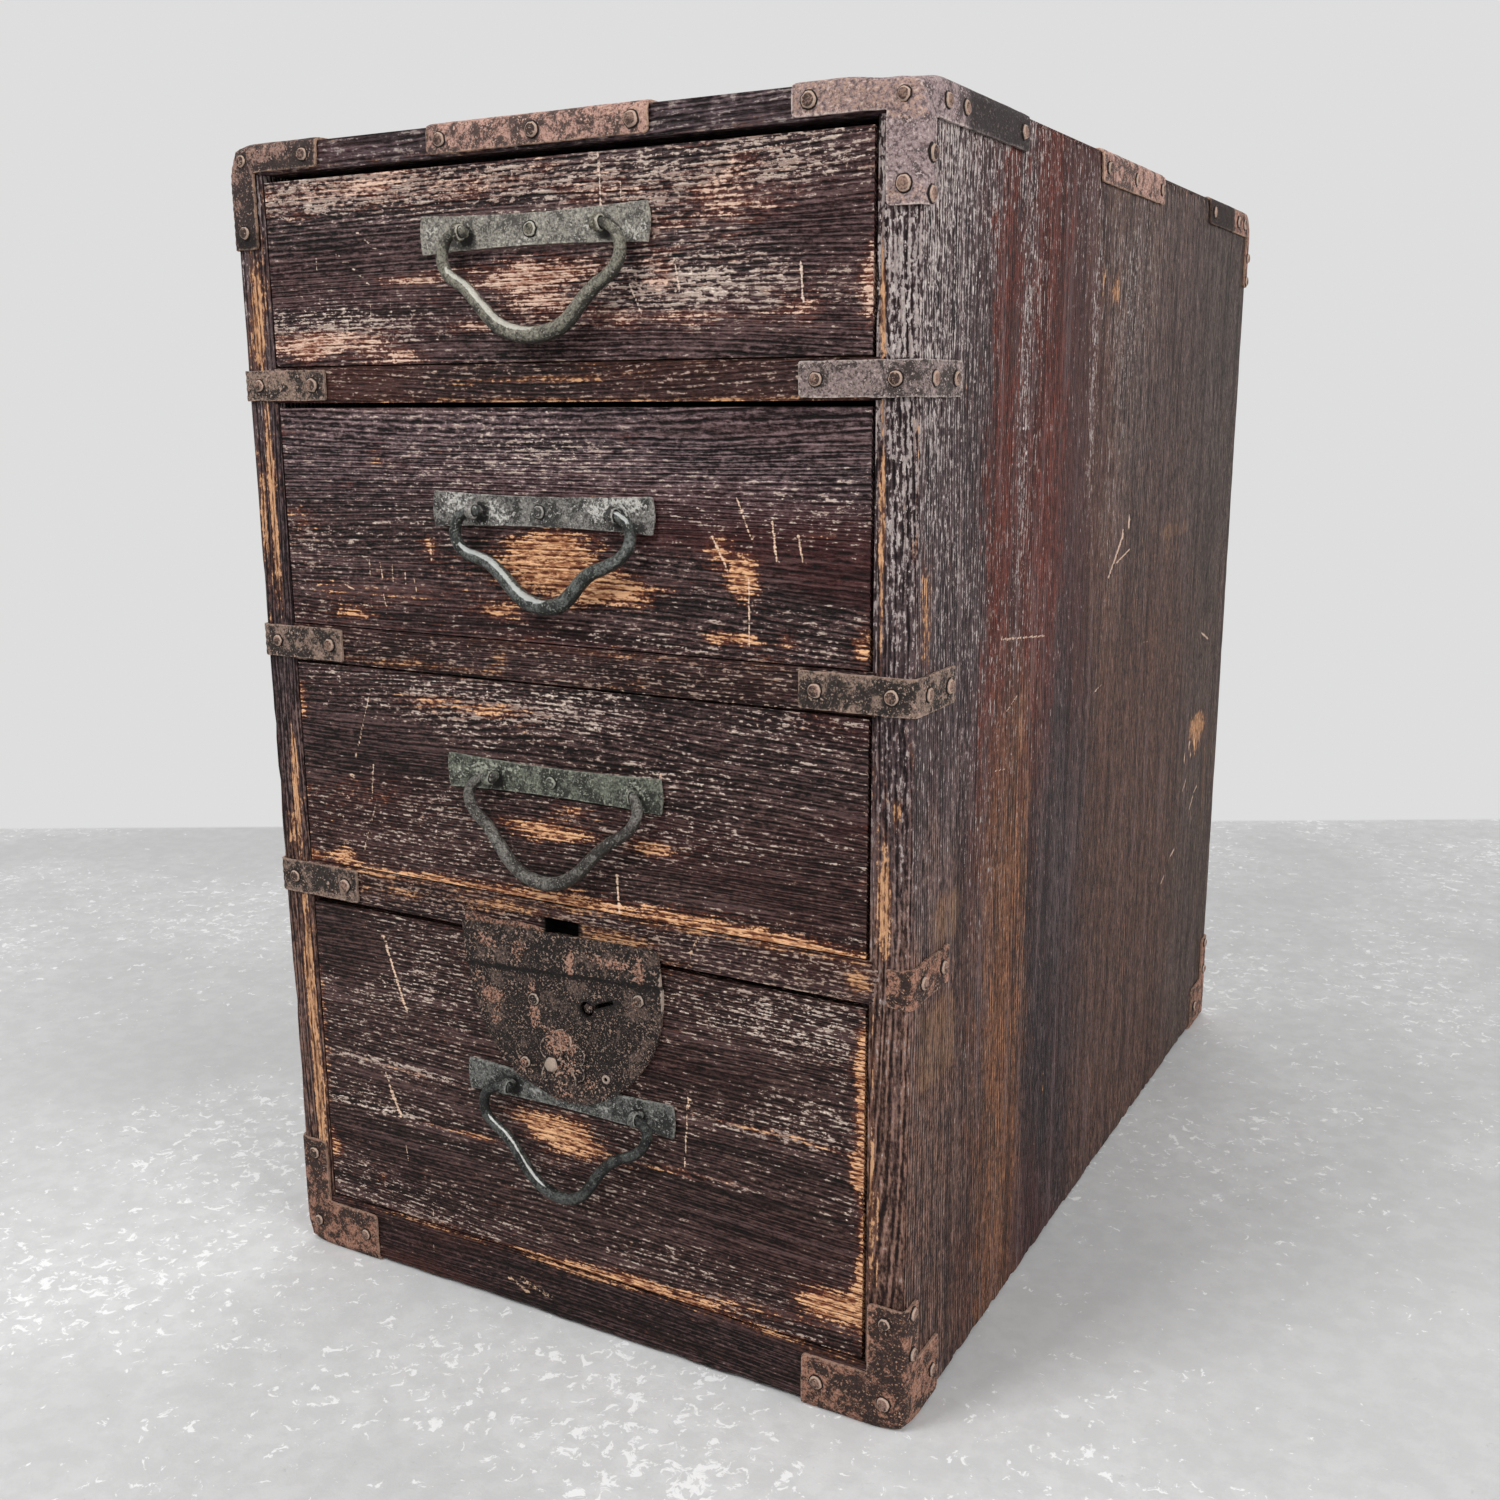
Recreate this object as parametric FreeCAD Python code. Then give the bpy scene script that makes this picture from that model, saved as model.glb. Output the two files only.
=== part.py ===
import FreeCAD, Part
import math
import os

# A funa-dansu: a Japanese ship's chest with four stacked drawers. The wooden case is bound at its
# corners and rails with wrought iron, each drawer has a bail handle hung in two split eyes, and the
# lowest drawer has a lock whose bolt rises into the rail above it.
#
# Axes: +X to the right seen from the front, -Y to the front, +Z up. The origin is on the ground
# under the centre of the whole chest, handles included. All sizes are in millimetres.

V = FreeCAD.Vector
tiny = 1e-4                                    # lengths and places closer than this are the same

# --- Case ------------------------------------------------------------------------------------
case_width = 324.0
case_depth = 508.0
side_t = 17.0
top_t = 11.6
bottom_t = 10.0
shelf_t = 8.0
back_t = 8.0
rail_depth = 30.0
base_rail_depth = 20.0
opening_heights = [80.5, 98.0, 96.0, 155.5]    # drawer openings from the top down
rail_heights = [15.0, 16.5, 17.5]              # rails under the first three openings
base_rail_h = 27.0
housing = 5.0                                  # depth of the grooves and mortises in the sides
back_lip = 8.0                                 # side wood left standing outside the back boards
tenon_shoulder = 3.0                           # rail wood above and below its tenon
tenon_inset = 8.0                              # tenon's distance behind the front of the rail
tenon_t = 12.0

# --- Irons -----------------------------------------------------------------------------------
iron_t = 1.2
iron_corner_r = 2.5
cap_lap = 12.0                                 # how far the irons lap on to the top and the base
top_iron = {"face_leg": 50.0, "face_band": 10.5, "side_leg": 102.0, "side_band": 13.0,
            "post_leg": 42.0, "post_face": 13.5, "post_side": 8.0, "post_pitch": 13.2,
            "side_row": 2}
bottom_iron = {"face_leg": 45.5, "face_band": 23.0, "side_leg": 34.0, "side_band": 27.0,
               "post_leg": 55.0, "post_face": 15.5, "post_side": 12.0, "post_pitch": 18.4,
               "side_row": 0}
centre_strap_l = 105.0
front_strap_h = 10.5
side_strap_h = 13.0
rail_strap_face = 47.0
rail_strap_side = 37.0
rail_strap_margin = 1.0                        # rail wood left bare above and below a strap
torn_rail = 2                                  # this rail's right strap is torn off
torn_strap_face = 9.0                          # what is left of its front leg
nail_edge = 7.0                                # from an iron's end to its nail
post_nail_edge = 3.6                           # the same at the end of a side post
nail_pitch = 17.0                              # along an iron's side leg
nail_head_r = 2.8
nail_head_h = 1.0
nail_shank_r = 1.1
nail_length = 9.0
nail_play = 0.05
peg_r = 1.5
peg_length = 18.0
peg_count = 5

# --- Drawers ---------------------------------------------------------------------------------
drawer_recess = 0.5                            # drawer fronts behind the front of the case
gap_left = 0.6
gap_right = 1.6
gap_top = [3.4, 2.2, 1.2, 2.9]                 # shrinkage gaps over the drawers, top to bottom
slide_clearance = 0.3
front_lift = 0.4                               # front board's lower edge above the drawer bottom
stop_gap = 1.0
drawer_front_t = 17.0
drawer_side_t = 8.0
drawer_back_t = 8.0
drawer_bottom_t = 6.0
side_lap = 10.0                                # how far the sides reach into the front board
bottom_lap = 8.0
side_drop = 1.5                                # drawer sides below the top of the front board
back_drop = 6.0
edge_round = 1.4

# --- Handles ---------------------------------------------------------------------------------
handle_heights = [50.8, 54.5, 54.3, 85.5]      # handle centre above the floor of its opening
handle_shift = [-1.0, 1.0, 4.5, 5.0]           # middle of the two eyes, right of the chest's middle
plate_shift = [-1.6, -4.0, -6.3, -3.7]         # plate's middle, right of the middle of its eyes
bail_skew = [4.0, 3.5, 0.5, 6.0]               # middle of the grip, right of the middle of the eyes
plate_length = 110.0
plate_end_h = 15.0
plate_waist_h = 12.0
plate_end_bow = 1.0
plate_t = 1.4
eye_spacing = [67.0, 69.5, 71.0, 68.0]
eye_r = 4.2
eye_t = 4.0
eye_shank_r = 1.8
pivot_out = 6.5                                # bail's pivot line in front of the drawer front
pin_r = 2.0
pin_play = 0.1
pin_head_r = 2.7
pin_head_t = 0.9
pin_head_gap = 0.3
pin_reach = 1.5                                # straight pin outside the eye
bail_r = 4.0                                   # rod radius at the middle of the grip
bail_drop = 39.6                               # from the pivot line to the middle of the grip
bail_shape = [(1.00, 0.00), (1.10, 0.00), (1.13, 0.21), (1.06, 0.42), (0.83, 0.48), (0.67, 0.64),
              (0.51, 0.85), (0.26, 0.99)]      # control points: shares of half the span, of the drop
bail_swell = 1.5                               # above 1 keeps the rod slender near its pins
bail_stations = 31
clinch_l = 6.0
clinch_w = 3.0
clinch_t = 1.5

# --- Lock ------------------------------------------------------------------------------------
lock_plate_t = 1.5
lock_band_step = 0.9                           # upper band stands out to pass the rail
lock_lap_step = 1.6                            # lower lip stands out to pass the handle plate
lock_lap_play = 0.7                            # lip's fold above the waist of the handle plate
lock_riser = 1.5
lock_shield = [(46.5, 6.0), (-50.5, 3.5), (-49.2, -16.0), (-44.5, -36.0), (-37.6, -53.0),
               (-27.5, -62.0), (-12.0, -69.3), (5.0, -73.0), (22.5, -67.7), (35.5, -57.0),
               (47.3, -40.5), (51.8, -20.5), (50.5, 0.0), (49.6, 4.3)]    # outline of the plate
lock_crease = (-18.8, -9.3)                    # height of the crease under the band, at both ends
plate_reach = 80.0                             # half of the length that those ends are apart
bolt_w = 13.6
bolt_t = 4.0
bolt_x = -0.7
bolt_inset = 2.0                               # bolt behind the back of the lock plate
bolt_length = 34.6
bolt_below = 0.5                               # drawn bolt's top under the drawer's top edge
bolt_play = 0.4
bolt_travel = 10.0
bolt_foot_w = 4.0
bolt_foot_h = 8.0
lock_case_left = -13.4
lock_case_right = 30.0
lock_case_top = -14.0
lock_case_bottom = -56.0
lock_case_depth = 11.0
lock_case_wall = 1.2
lock_case_play = 0.2
key_x = 12.9
key_z = -26.9
key_hole_r = 2.9
key_slot_w = 1.7
key_slot_l = 14.5
key_slot_angle = 22.0
key_pin_r = 2.2
key_pin_recess = 0.5
boss_r = 10.5
boss_h = 1.2
boss_x = 0.0
boss_z = -50.3
boss_lobes = 3
boss_lobe_r = 3.6
boss_lobe_out = 5.5                            # from the boss's centre to a lobe's
boss_lobe_depth = 0.5
stud_r = 2.6
stud_h = 1.6
stud_x = -4.3
stud_z = -54.7
lock_nails = [(-15.3, -27.4), (39.5, -18.1), (-21.1, -58.2)]
eyelet_x = 21.9
eyelet_z = -57.4
eyelet_r = 1.2
spring_w = 3.5
spring_t = 0.8
spring_bow = 3.0
spring_gap = 0.3                               # between the spring and the side of the bolt
strike_left = -52.7
strike_torn = -10.4                            # where the strike's front leaf is torn off
strike_right = 44.0
strike_h = 11.0
strike_t = 1.2
strike_depth = 16.0
mortise_play = 1.9
mortise_depth = 9.0

# --- Worked-out places -----------------------------------------------------------------------
lowest = len(opening_heights) - 1              # the lowest drawer is the one with the lock
half = case_width / 2
inner = half - side_t
front_reach = pivot_out + eye_r - drawer_recess
back_reach = iron_t + nail_head_h
front_y = (front_reach - case_depth - back_reach) / 2
back_y = front_y + case_depth
back_face = back_y - back_t
base_z = iron_t
top_z = base_z + base_rail_h + sum(opening_heights) + sum(rail_heights) + top_t
drawer_y = front_y + drawer_recess
drawer_end = back_face - stop_gap


def opening_floor(i):
    """Height of the floor of drawer opening i, counted from the top."""
    return top_z - top_t - sum(opening_heights[: i + 1]) - sum(rail_heights[:i])


def opening_roof(i):
    return opening_floor(i) + opening_heights[i]


# --- Helpers ---------------------------------------------------------------------------------
def box(x, y, z):
    """Box between two x values, two y values and two z values, each pair in either order."""
    low = V(min(x), min(y), min(z))
    size = V(max(x), max(y), max(z)) - low
    return Part.makeBox(size.x, size.y, size.z, low)


def fuse(shapes):
    return shapes[0].fuse(shapes[1:]).removeSplitter()


def drill(shape, holes):
    """Cut those holes that reach the shape's bounding box."""
    near = [h for h in holes if h.BoundBox.intersect(shape.BoundBox)]
    return shape.cut(near) if near else shape


def rod(start, direction, length, radius):
    return Part.makeCylinder(radius, length, start, direction)


def dome(start, direction, radius, height):
    """Low domed head standing on its flat face."""
    ball_r = (radius ** 2 + height ** 2) / (2 * height)
    centre = start + direction * (height - ball_r)
    foot_angle = math.degrees(math.asin((ball_r - height) / ball_r))
    return Part.makeSphere(ball_r, centre, direction, foot_angle, 90, 360)


def prism(wire, y_back, thickness):
    """Extrude a wire drawn in the XZ plane at y = 0 from y_back towards the front."""
    plate = Part.Face(wire).extrude(V(0, -thickness, 0))
    plate.translate(V(0, y_back, 0))
    return plate


def arc(a, b, c):
    """Arc through three (x, z) points."""
    return Part.Arc(*[V(x, 0, z) for x, z in (a, b, c)]).toShape()


def line(a, b):
    return Part.makeLine(V(a[0], 0, a[1]), V(b[0], 0, b[1]))


def nail(seat, outward):
    """Wrought nail: domed head on the iron, shank in the wood."""
    shank = rod(seat, outward * -1, nail_length, nail_shank_r)
    return shank.fuse(dome(seat, outward, nail_head_r, nail_head_h)).removeSplitter()


def nail_hole(seat, outward):
    return rod(seat, outward * -1, nail_length + nail_play, nail_shank_r + nail_play)


def round_tips(shape, thickness, radius):
    """Round the corners of a plate: the edges that are as long as the plate is thick."""
    tips = [e for e in shape.Edges if abs(e.Length - thickness) < tiny]
    return shape.makeFillet(radius, tips)


# --- Irons: shapes and nail seats ------------------------------------------------------------
def corner_place(sx, sy, sz):
    """Map distances measured inwards from one corner of the wooden case to x, y and z."""
    corner_y = front_y if sy < 0 else back_y
    corner_z = top_z if sz > 0 else base_z
    return lambda u, v, w: V(sx * (half - u), corner_y - sy * v, corner_z - sz * w)


def corner_iron(sx, sy, sz, iron):
    """Iron with a flange on the face, one on the side and one on the top or the base."""
    place = corner_place(sx, sy, sz)

    def leg(u, v, w):
        a = place(u[0], v[0], w[0])
        b = place(u[1], v[1], w[1])
        return box((a.x, b.x), (a.y, b.y), (a.z, b.z))

    skin = (-iron_t, 0)
    legs = [
        leg((-iron_t, iron["face_leg"]), skin, (-iron_t, iron["face_band"])),
        leg((-iron_t, iron["post_face"]), skin, (-iron_t, iron["post_leg"])),
        leg(skin, (-iron_t, iron["side_leg"]), (-iron_t, iron["side_band"])),
        leg(skin, (-iron_t, iron["post_side"]), (-iron_t, iron["post_leg"])),
        leg((-iron_t, iron["face_leg"]), (-iron_t, cap_lap), skin),
        leg((-iron_t, cap_lap), (-iron_t, iron["side_leg"]), skin),
    ]
    return round_tips(fuse(legs), iron_t, iron_corner_r)


def corner_nails(sx, sy, sz, iron):
    """Seats of a corner iron's nails: three on its face flange, the others on its side flange."""
    place = corner_place(sx, sy, sz)
    face_mid = iron["face_band"] / 2
    post_x = iron["post_face"] / 2
    face = [(iron["face_leg"] - nail_edge, face_mid),
            (post_x, face_mid),
            (post_x, iron["post_leg"] - nail_edge)]
    side_mid = iron["side_band"] / 2
    post_y = iron["post_side"] / 2
    side = [(iron["side_leg"] - nail_edge, side_mid),
            (post_y, iron["post_leg"] - post_nail_edge - iron["post_pitch"]),
            (post_y, iron["post_leg"] - post_nail_edge)]
    side += [((k + 1) * nail_pitch, side_mid) for k in range(iron["side_row"])]
    seats = [(place(u, -iron_t, w), V(0, sy, 0)) for u, w in face]
    return seats + [(place(-iron_t, v, w), V(sx, 0, 0)) for v, w in side]


def rail_band(i):
    """Lower and upper edge of the strap on the rail under opening i."""
    roof = opening_floor(i)
    return roof - rail_heights[i] + rail_strap_margin, roof - rail_strap_margin


def rail_strap(sx, i, face_leg):
    """Strap that ties a rail to the side of the case, bent round the front corner."""
    skin_x = sx * (half + iron_t)
    front = box((sx * (half - face_leg), skin_x), (front_y - iron_t, front_y), rail_band(i))
    side = box((sx * half, skin_x), (front_y - iron_t, front_y + rail_strap_side), rail_band(i))
    return round_tips(fuse([front, side]), iron_t, iron_corner_r)


def rail_strap_nails(sx, i, face_leg):
    middle = sum(rail_band(i)) / 2
    face = (side_t / 2, face_leg - nail_edge) if face_leg > side_t else ()
    side = (nail_length + nail_shank_r, rail_strap_side - nail_edge)
    seats = [(V(sx * (half - u), front_y - iron_t, middle), V(0, -1, 0)) for u in face]
    return seats + [(V(sx * (half + iron_t), front_y + v, middle), V(sx, 0, 0)) for v in side]


def top_front_strap():
    x = (-centre_strap_l / 2, centre_strap_l / 2)
    front = box(x, (front_y - iron_t, front_y), (top_z - front_strap_h, top_z + iron_t))
    cap = box(x, (front_y - iron_t, front_y + cap_lap), (top_z, top_z + iron_t))
    return round_tips(fuse([front, cap]), iron_t, iron_corner_r)


def top_front_nails():
    reach = centre_strap_l / 2 - nail_edge
    height = top_z - front_strap_h / 2
    return [(V(x, front_y - iron_t, height), V(0, -1, 0)) for x in (-reach, 0, reach)]


def top_side_strap(sx):
    """Strap at the middle of a side's top edge."""
    middle = (front_y + back_y) / 2
    y = (middle - centre_strap_l / 2, middle + centre_strap_l / 2)
    skin = (sx * half, sx * (half + iron_t))
    side = box(skin, y, (top_z - side_strap_h, top_z + iron_t))
    cap = box((sx * (half - cap_lap), sx * (half + iron_t)), y, (top_z, top_z + iron_t))
    return round_tips(fuse([side, cap]), iron_t, iron_corner_r)


def top_side_nails(sx):
    middle = (front_y + back_y) / 2
    reach = centre_strap_l / 2 - nail_edge
    height = top_z - side_strap_h / 2
    return [(V(sx * (half + iron_t), middle + y, height), V(sx, 0, 0)) for y in (-reach, 0, reach)]


def strap_face(sx, i):
    return torn_strap_face if (sx > 0 and i == torn_rail) else rail_strap_face


def all_iron_nails():
    seats = top_front_nails()
    for sx in (-1, 1):
        seats += top_side_nails(sx)
        for sy in (-1, 1):
            seats += corner_nails(sx, sy, 1, top_iron)
            seats += corner_nails(sx, sy, -1, bottom_iron)
        for i in range(len(rail_heights)):
            seats += rail_strap_nails(sx, i, strap_face(sx, i))
    return seats


def drilled(irons):
    """Irons of one kind, each with its nail holes."""
    return Part.makeCompound([drill(iron, IRON_HOLES) for iron in irons])


IRON_NAILS = all_iron_nails()
IRON_HOLES = [nail_hole(seat, outward) for seat, outward in IRON_NAILS]


# --- Back boards' pegs -----------------------------------------------------------------------
def peg_seats():
    """Pegs through the back boards, into the sides and into the edges of the top and bottom."""
    seats = []
    peg_x = inner + (side_t - back_lip) / 2
    for k in range(peg_count):
        z = base_z + (top_z - base_z) * (k + 1) / (peg_count + 1)
        seats += [V(-peg_x, back_y, z), V(peg_x, back_y, z)]
    for x in (-inner / 2, inner / 2):
        seats.append(V(x, back_y, top_z - top_t / 2))
        seats.append(V(x, back_y, opening_floor(lowest) - bottom_t / 2))
    return seats


PEGS = [rod(seat, V(0, -1, 0), peg_length, peg_r) for seat in peg_seats()]


# --- Case parts ------------------------------------------------------------------------------
def rail_spans():
    """Lower and upper face of each rail from the top down, the base rail last."""
    spans = [(opening_floor(i) - height, opening_floor(i)) for i, height in enumerate(rail_heights)]
    return spans + [(base_z, opening_floor(lowest))]


def tenon(sx, span):
    low, high = span
    y = (front_y + tenon_inset, front_y + tenon_inset + tenon_t)
    z = (low + tenon_shoulder, high - tenon_shoulder)
    return box((sx * inner, sx * (inner + housing)), y, z)


def side_panel(sx):
    panel = box((sx * inner, sx * half), (front_y, back_y), (base_z, top_z))
    groove_x = (sx * inner, sx * (inner + housing))
    cuts = [box(groove_x, (front_y, back_face), (top_z - top_t, top_z))]
    for i in range(lowest):
        floor = opening_floor(i)
        cuts.append(box(groove_x, (front_y + rail_depth, back_face), (floor - shelf_t, floor)))
    floor = opening_floor(lowest)
    cuts.append(box(groove_x, (front_y + base_rail_depth, back_face), (floor - bottom_t, floor)))
    cuts += [tenon(sx, span) for span in rail_spans()]
    cuts.append(box((sx * inner, sx * (half - back_lip)), (back_face, back_y), (base_z, top_z)))
    return drill(panel.cut(cuts), IRON_HOLES + PEGS)


def rail(i):
    span = rail_spans()[i]
    depth = base_rail_depth if i == lowest else rail_depth
    bar = box((-inner, inner), (front_y, front_y + depth), span)
    return drill(fuse([bar, tenon(-1, span), tenon(1, span)]), IRON_HOLES)


def mortise_x():
    reach = bolt_w / 2 + mortise_play
    return bolt_x - reach, bolt_x + reach


def locking_rail():
    """Rail over the locked drawer: let in for the strike, mortised for the bolt."""
    bar = rail(lowest - 1)
    under = opening_roof(lowest)
    lip = box((strike_left, strike_right), (front_y, front_y + strike_t), (under, under + strike_h))
    bed = box((strike_left, strike_right), (front_y, front_y + strike_depth), (under, under + strike_t))
    hole = box(mortise_x(), (front_y, front_y + mortise_depth), (under, under + strike_h))
    return bar.cut([lip, bed, hole])


def strike_plate():
    """Iron let into the rail: a leaf underneath, and what is left of the one in front."""
    under = opening_roof(lowest)
    leaf = box((strike_left, strike_right), (front_y, front_y + strike_depth), (under, under + strike_t))
    face = box((strike_left, strike_torn), (front_y, front_y + strike_t), (under, under + strike_h))
    slot = box(mortise_x(), (front_y, front_y + mortise_depth), (under, under + strike_t))
    return fuse([leaf, face]).cut(slot)


def shelf(i):
    """Board behind rail i, on which the drawer above runs."""
    reach = inner + housing
    floor = opening_floor(i)
    return box((-reach, reach), (front_y + rail_depth, back_face), (floor - shelf_t, floor))


def bottom_panel():
    reach = inner + housing
    floor = opening_floor(lowest)
    y = (front_y + base_rail_depth, back_face)
    return drill(box((-reach, reach), y, (floor - bottom_t, floor)), PEGS)


def top_panel():
    reach = inner + housing
    board = box((-reach, reach), (front_y, back_face), (top_z - top_t, top_z))
    return drill(board, IRON_HOLES + PEGS)


def back_boards():
    """Two upright boards that meet at the middle of the back."""
    reach = half - back_lip
    boards = [box((0, sx * reach), (back_face, back_y), (base_z, top_z)) for sx in (-1, 1)]
    return Part.makeCompound([drill(board, IRON_HOLES + PEGS) for board in boards])


# --- Drawer parts ----------------------------------------------------------------------------
drawer_x = (-inner + gap_left, inner - gap_right)


def drawer_span(i):
    """Lower and upper edge of drawer i."""
    return opening_floor(i) + slide_clearance, opening_roof(i) - gap_top[i]


def handle_z(i):
    return opening_floor(i) + handle_heights[i]


def drawer_front(i):
    low, high = drawer_span(i)
    back = drawer_y + drawer_front_t
    board = box(drawer_x, (drawer_y, back), (low + front_lift, high))
    face_edges = [e for e in board.Edges if e.BoundBox.YMax < drawer_y + tiny]
    board = board.makeFillet(edge_round, face_edges)
    rebate_y = (back - side_lap, back)
    cuts = [
        box((drawer_x[0], drawer_x[0] + drawer_side_t), rebate_y, (low, high)),
        box((drawer_x[1], drawer_x[1] - drawer_side_t), rebate_y, (low, high)),
        box(drawer_x, (back - bottom_lap, back), (low, low + drawer_bottom_t)),
    ]
    board = drill(board.cut(cuts), handle_holes(i))
    return locked_front(board) if i == lowest else board


def drawer_side(i, sx):
    low, high = drawer_span(i)
    outer = drawer_x[0] if sx < 0 else drawer_x[1]
    y = (drawer_y + drawer_front_t - side_lap, drawer_end)
    z = (low + drawer_bottom_t, high - side_drop)
    return box((outer, outer - sx * drawer_side_t), y, z)


def drawer_back(i):
    low, high = drawer_span(i)
    x = (drawer_x[0] + drawer_side_t, drawer_x[1] - drawer_side_t)
    return box(x, (drawer_end - drawer_back_t, drawer_end), (low + drawer_bottom_t, high - back_drop))


def drawer_bottom(i):
    low, high = drawer_span(i)
    y = (drawer_y + drawer_front_t - bottom_lap, drawer_end)
    return box(drawer_x, y, (low, low + drawer_bottom_t))


# --- Handles ---------------------------------------------------------------------------------
def eye_xs(i):
    return handle_shift[i] - eye_spacing[i] / 2, handle_shift[i] + eye_spacing[i] / 2


def plate_x(i):
    """Middle of handle plate i."""
    return handle_shift[i] + plate_shift[i]


def plate_nail_seats(i):
    """A nail in the middle of the handle plate, unless the lock plate laps over it there."""
    return [] if i == lowest else [(V(plate_x(i), drawer_y - plate_t, handle_z(i)), V(0, -1, 0))]


def handle_holes(i):
    """Holes through a drawer front and its handle plate for the eyes and the plate's nail."""
    z = handle_z(i)
    outside = drawer_y - plate_t
    depth = plate_t + drawer_front_t
    shank = eye_shank_r + nail_play
    holes = [rod(V(x, outside, z), V(0, 1, 0), depth, shank) for x in eye_xs(i)]
    return holes + [nail_hole(seat, outward) for seat, outward in plate_nail_seats(i)]


def handle_plate(i):
    """Long plate with a waist, its ends slightly bowed."""
    end_x = plate_length / 2 - plate_end_bow
    tip_x = plate_length / 2
    end_z = plate_end_h / 2
    waist_z = plate_waist_h / 2
    outline = Part.Wire([
        arc((-end_x, end_z), (0, waist_z), (end_x, end_z)),
        arc((end_x, end_z), (tip_x, 0), (end_x, -end_z)),
        arc((end_x, -end_z), (0, -waist_z), (-end_x, -end_z)),
        arc((-end_x, -end_z), (-tip_x, 0), (-end_x, end_z)),
    ])
    plate = prism(outline, drawer_y, plate_t)
    plate.translate(V(plate_x(i), 0, handle_z(i)))
    return drill(plate, handle_holes(i))


def split_eye(x, z):
    """Eye with its shank through the drawer front and its two legs clinched inside."""
    pivot = V(x, drawer_y - pivot_out, z)
    start = V(x - eye_t / 2, pivot.y, z)
    inside = drawer_y + drawer_front_t
    ring = rod(start, V(1, 0, 0), eye_t, eye_r)
    shank = rod(pivot, V(0, 1, 0), inside - pivot.y, eye_shank_r)
    legs = box((x - clinch_w / 2, x + clinch_w / 2), (inside, inside + clinch_t),
               (z - clinch_l, z + clinch_l))
    bore = rod(start, V(1, 0, 0), eye_t, pin_r + pin_play)
    return fuse([ring, shank, legs]).cut(bore)


def handle_eyes(i):
    eyes = [split_eye(x, handle_z(i)) for x in eye_xs(i)]
    return Part.makeCompound(eyes + [nail(seat, outward) for seat, outward in plate_nail_seats(i)])


def bail_curve(pin_end, skew):
    """Centre line of the bail between its two pins, in the XZ plane with the pivot at z = 0.

    The lower a point hangs, the more it is skewed to the right."""
    left = [(-x, z) for x, z in bail_shape]
    right = [(x, z) for x, z in reversed(bail_shape)]
    curve = Part.BSplineCurve()
    curve.buildFromPoles([V(x * pin_end + z * skew, 0, -z * bail_drop)
                          for x, z in left + [(0, 1)] + right])
    return curve


def ring_section(centre, along, radius):
    """Circle across the bail's centre line, its seam always on the side away from the drawer."""
    circle = Part.Wire(Part.makeCircle(radius))
    seam = V(0, -1, 0)
    circle.Placement = FreeCAD.Placement(centre, FreeCAD.Rotation(seam, V(), along, "ZXY"))
    return circle


def bail(i):
    """Swinging handle: a rod that swells from the pins to the grip."""
    pin_end = eye_spacing[i] / 2 + eye_t / 2 + pin_reach
    curve = bail_curve(pin_end, bail_skew[i])
    length = curve.length()
    sections = []
    for k in range(bail_stations):
        share = k / (bail_stations - 1)
        at = curve.parameterAtDistance(share * length)
        radius = pin_r + (bail_r - pin_r) * math.sin(math.pi * share) ** bail_swell
        sections.append(ring_section(curve.value(at), curve.tangent(at)[0], radius))
    grip = Part.makeLoft(sections, True)
    head_out = eye_spacing[i] / 2 - eye_t / 2 - pin_head_gap
    parts = [grip]
    for sx in (-1, 1):
        inward = V(-sx, 0, 0)
        parts.append(rod(V(sx * pin_end, 0, 0), inward, pin_end - head_out, pin_r))
        parts.append(rod(V(sx * head_out, 0, 0), inward, pin_head_t, pin_head_r))
    handle = fuse(parts)
    handle.translate(V(handle_shift[i], drawer_y - pivot_out, handle_z(i)))
    return handle


# --- Lock ------------------------------------------------------------------------------------
def lock_z(height):
    """Height above the ground of a place measured from the roof of the locked drawer's opening."""
    return opening_roof(lowest) + height


def lock_outline():
    """Shield outline, measured from the roof of the opening: straight top, uneven rounded foot."""
    top_right, *foot, shoulder, bulge = lock_shield
    edges = [line(top_right, foot[0])]
    for k in range(0, len(foot) - 2, 2):
        edges.append(arc(*foot[k:k + 3]))
    edges.append(line(foot[-1], shoulder))
    edges.append(arc(shoulder, bulge, top_right))
    return Part.Wire(edges)


def lock_slab(low, high, step, thickness):
    """Strip of the lock plate between two edges, its back standing out by step.

    Each edge is its height at the left and at the right end of a strip wider than the plate."""
    corners = [(-plate_reach, low[0]), (plate_reach, low[1]),
               (plate_reach, high[1]), (-plate_reach, high[0]), (-plate_reach, low[0])]
    y_back = drawer_y - step
    strip = prism(Part.makePolygon([V(x, 0, z) for x, z in corners]), y_back, thickness)
    return prism(lock_outline(), y_back, thickness).common(strip)


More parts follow.
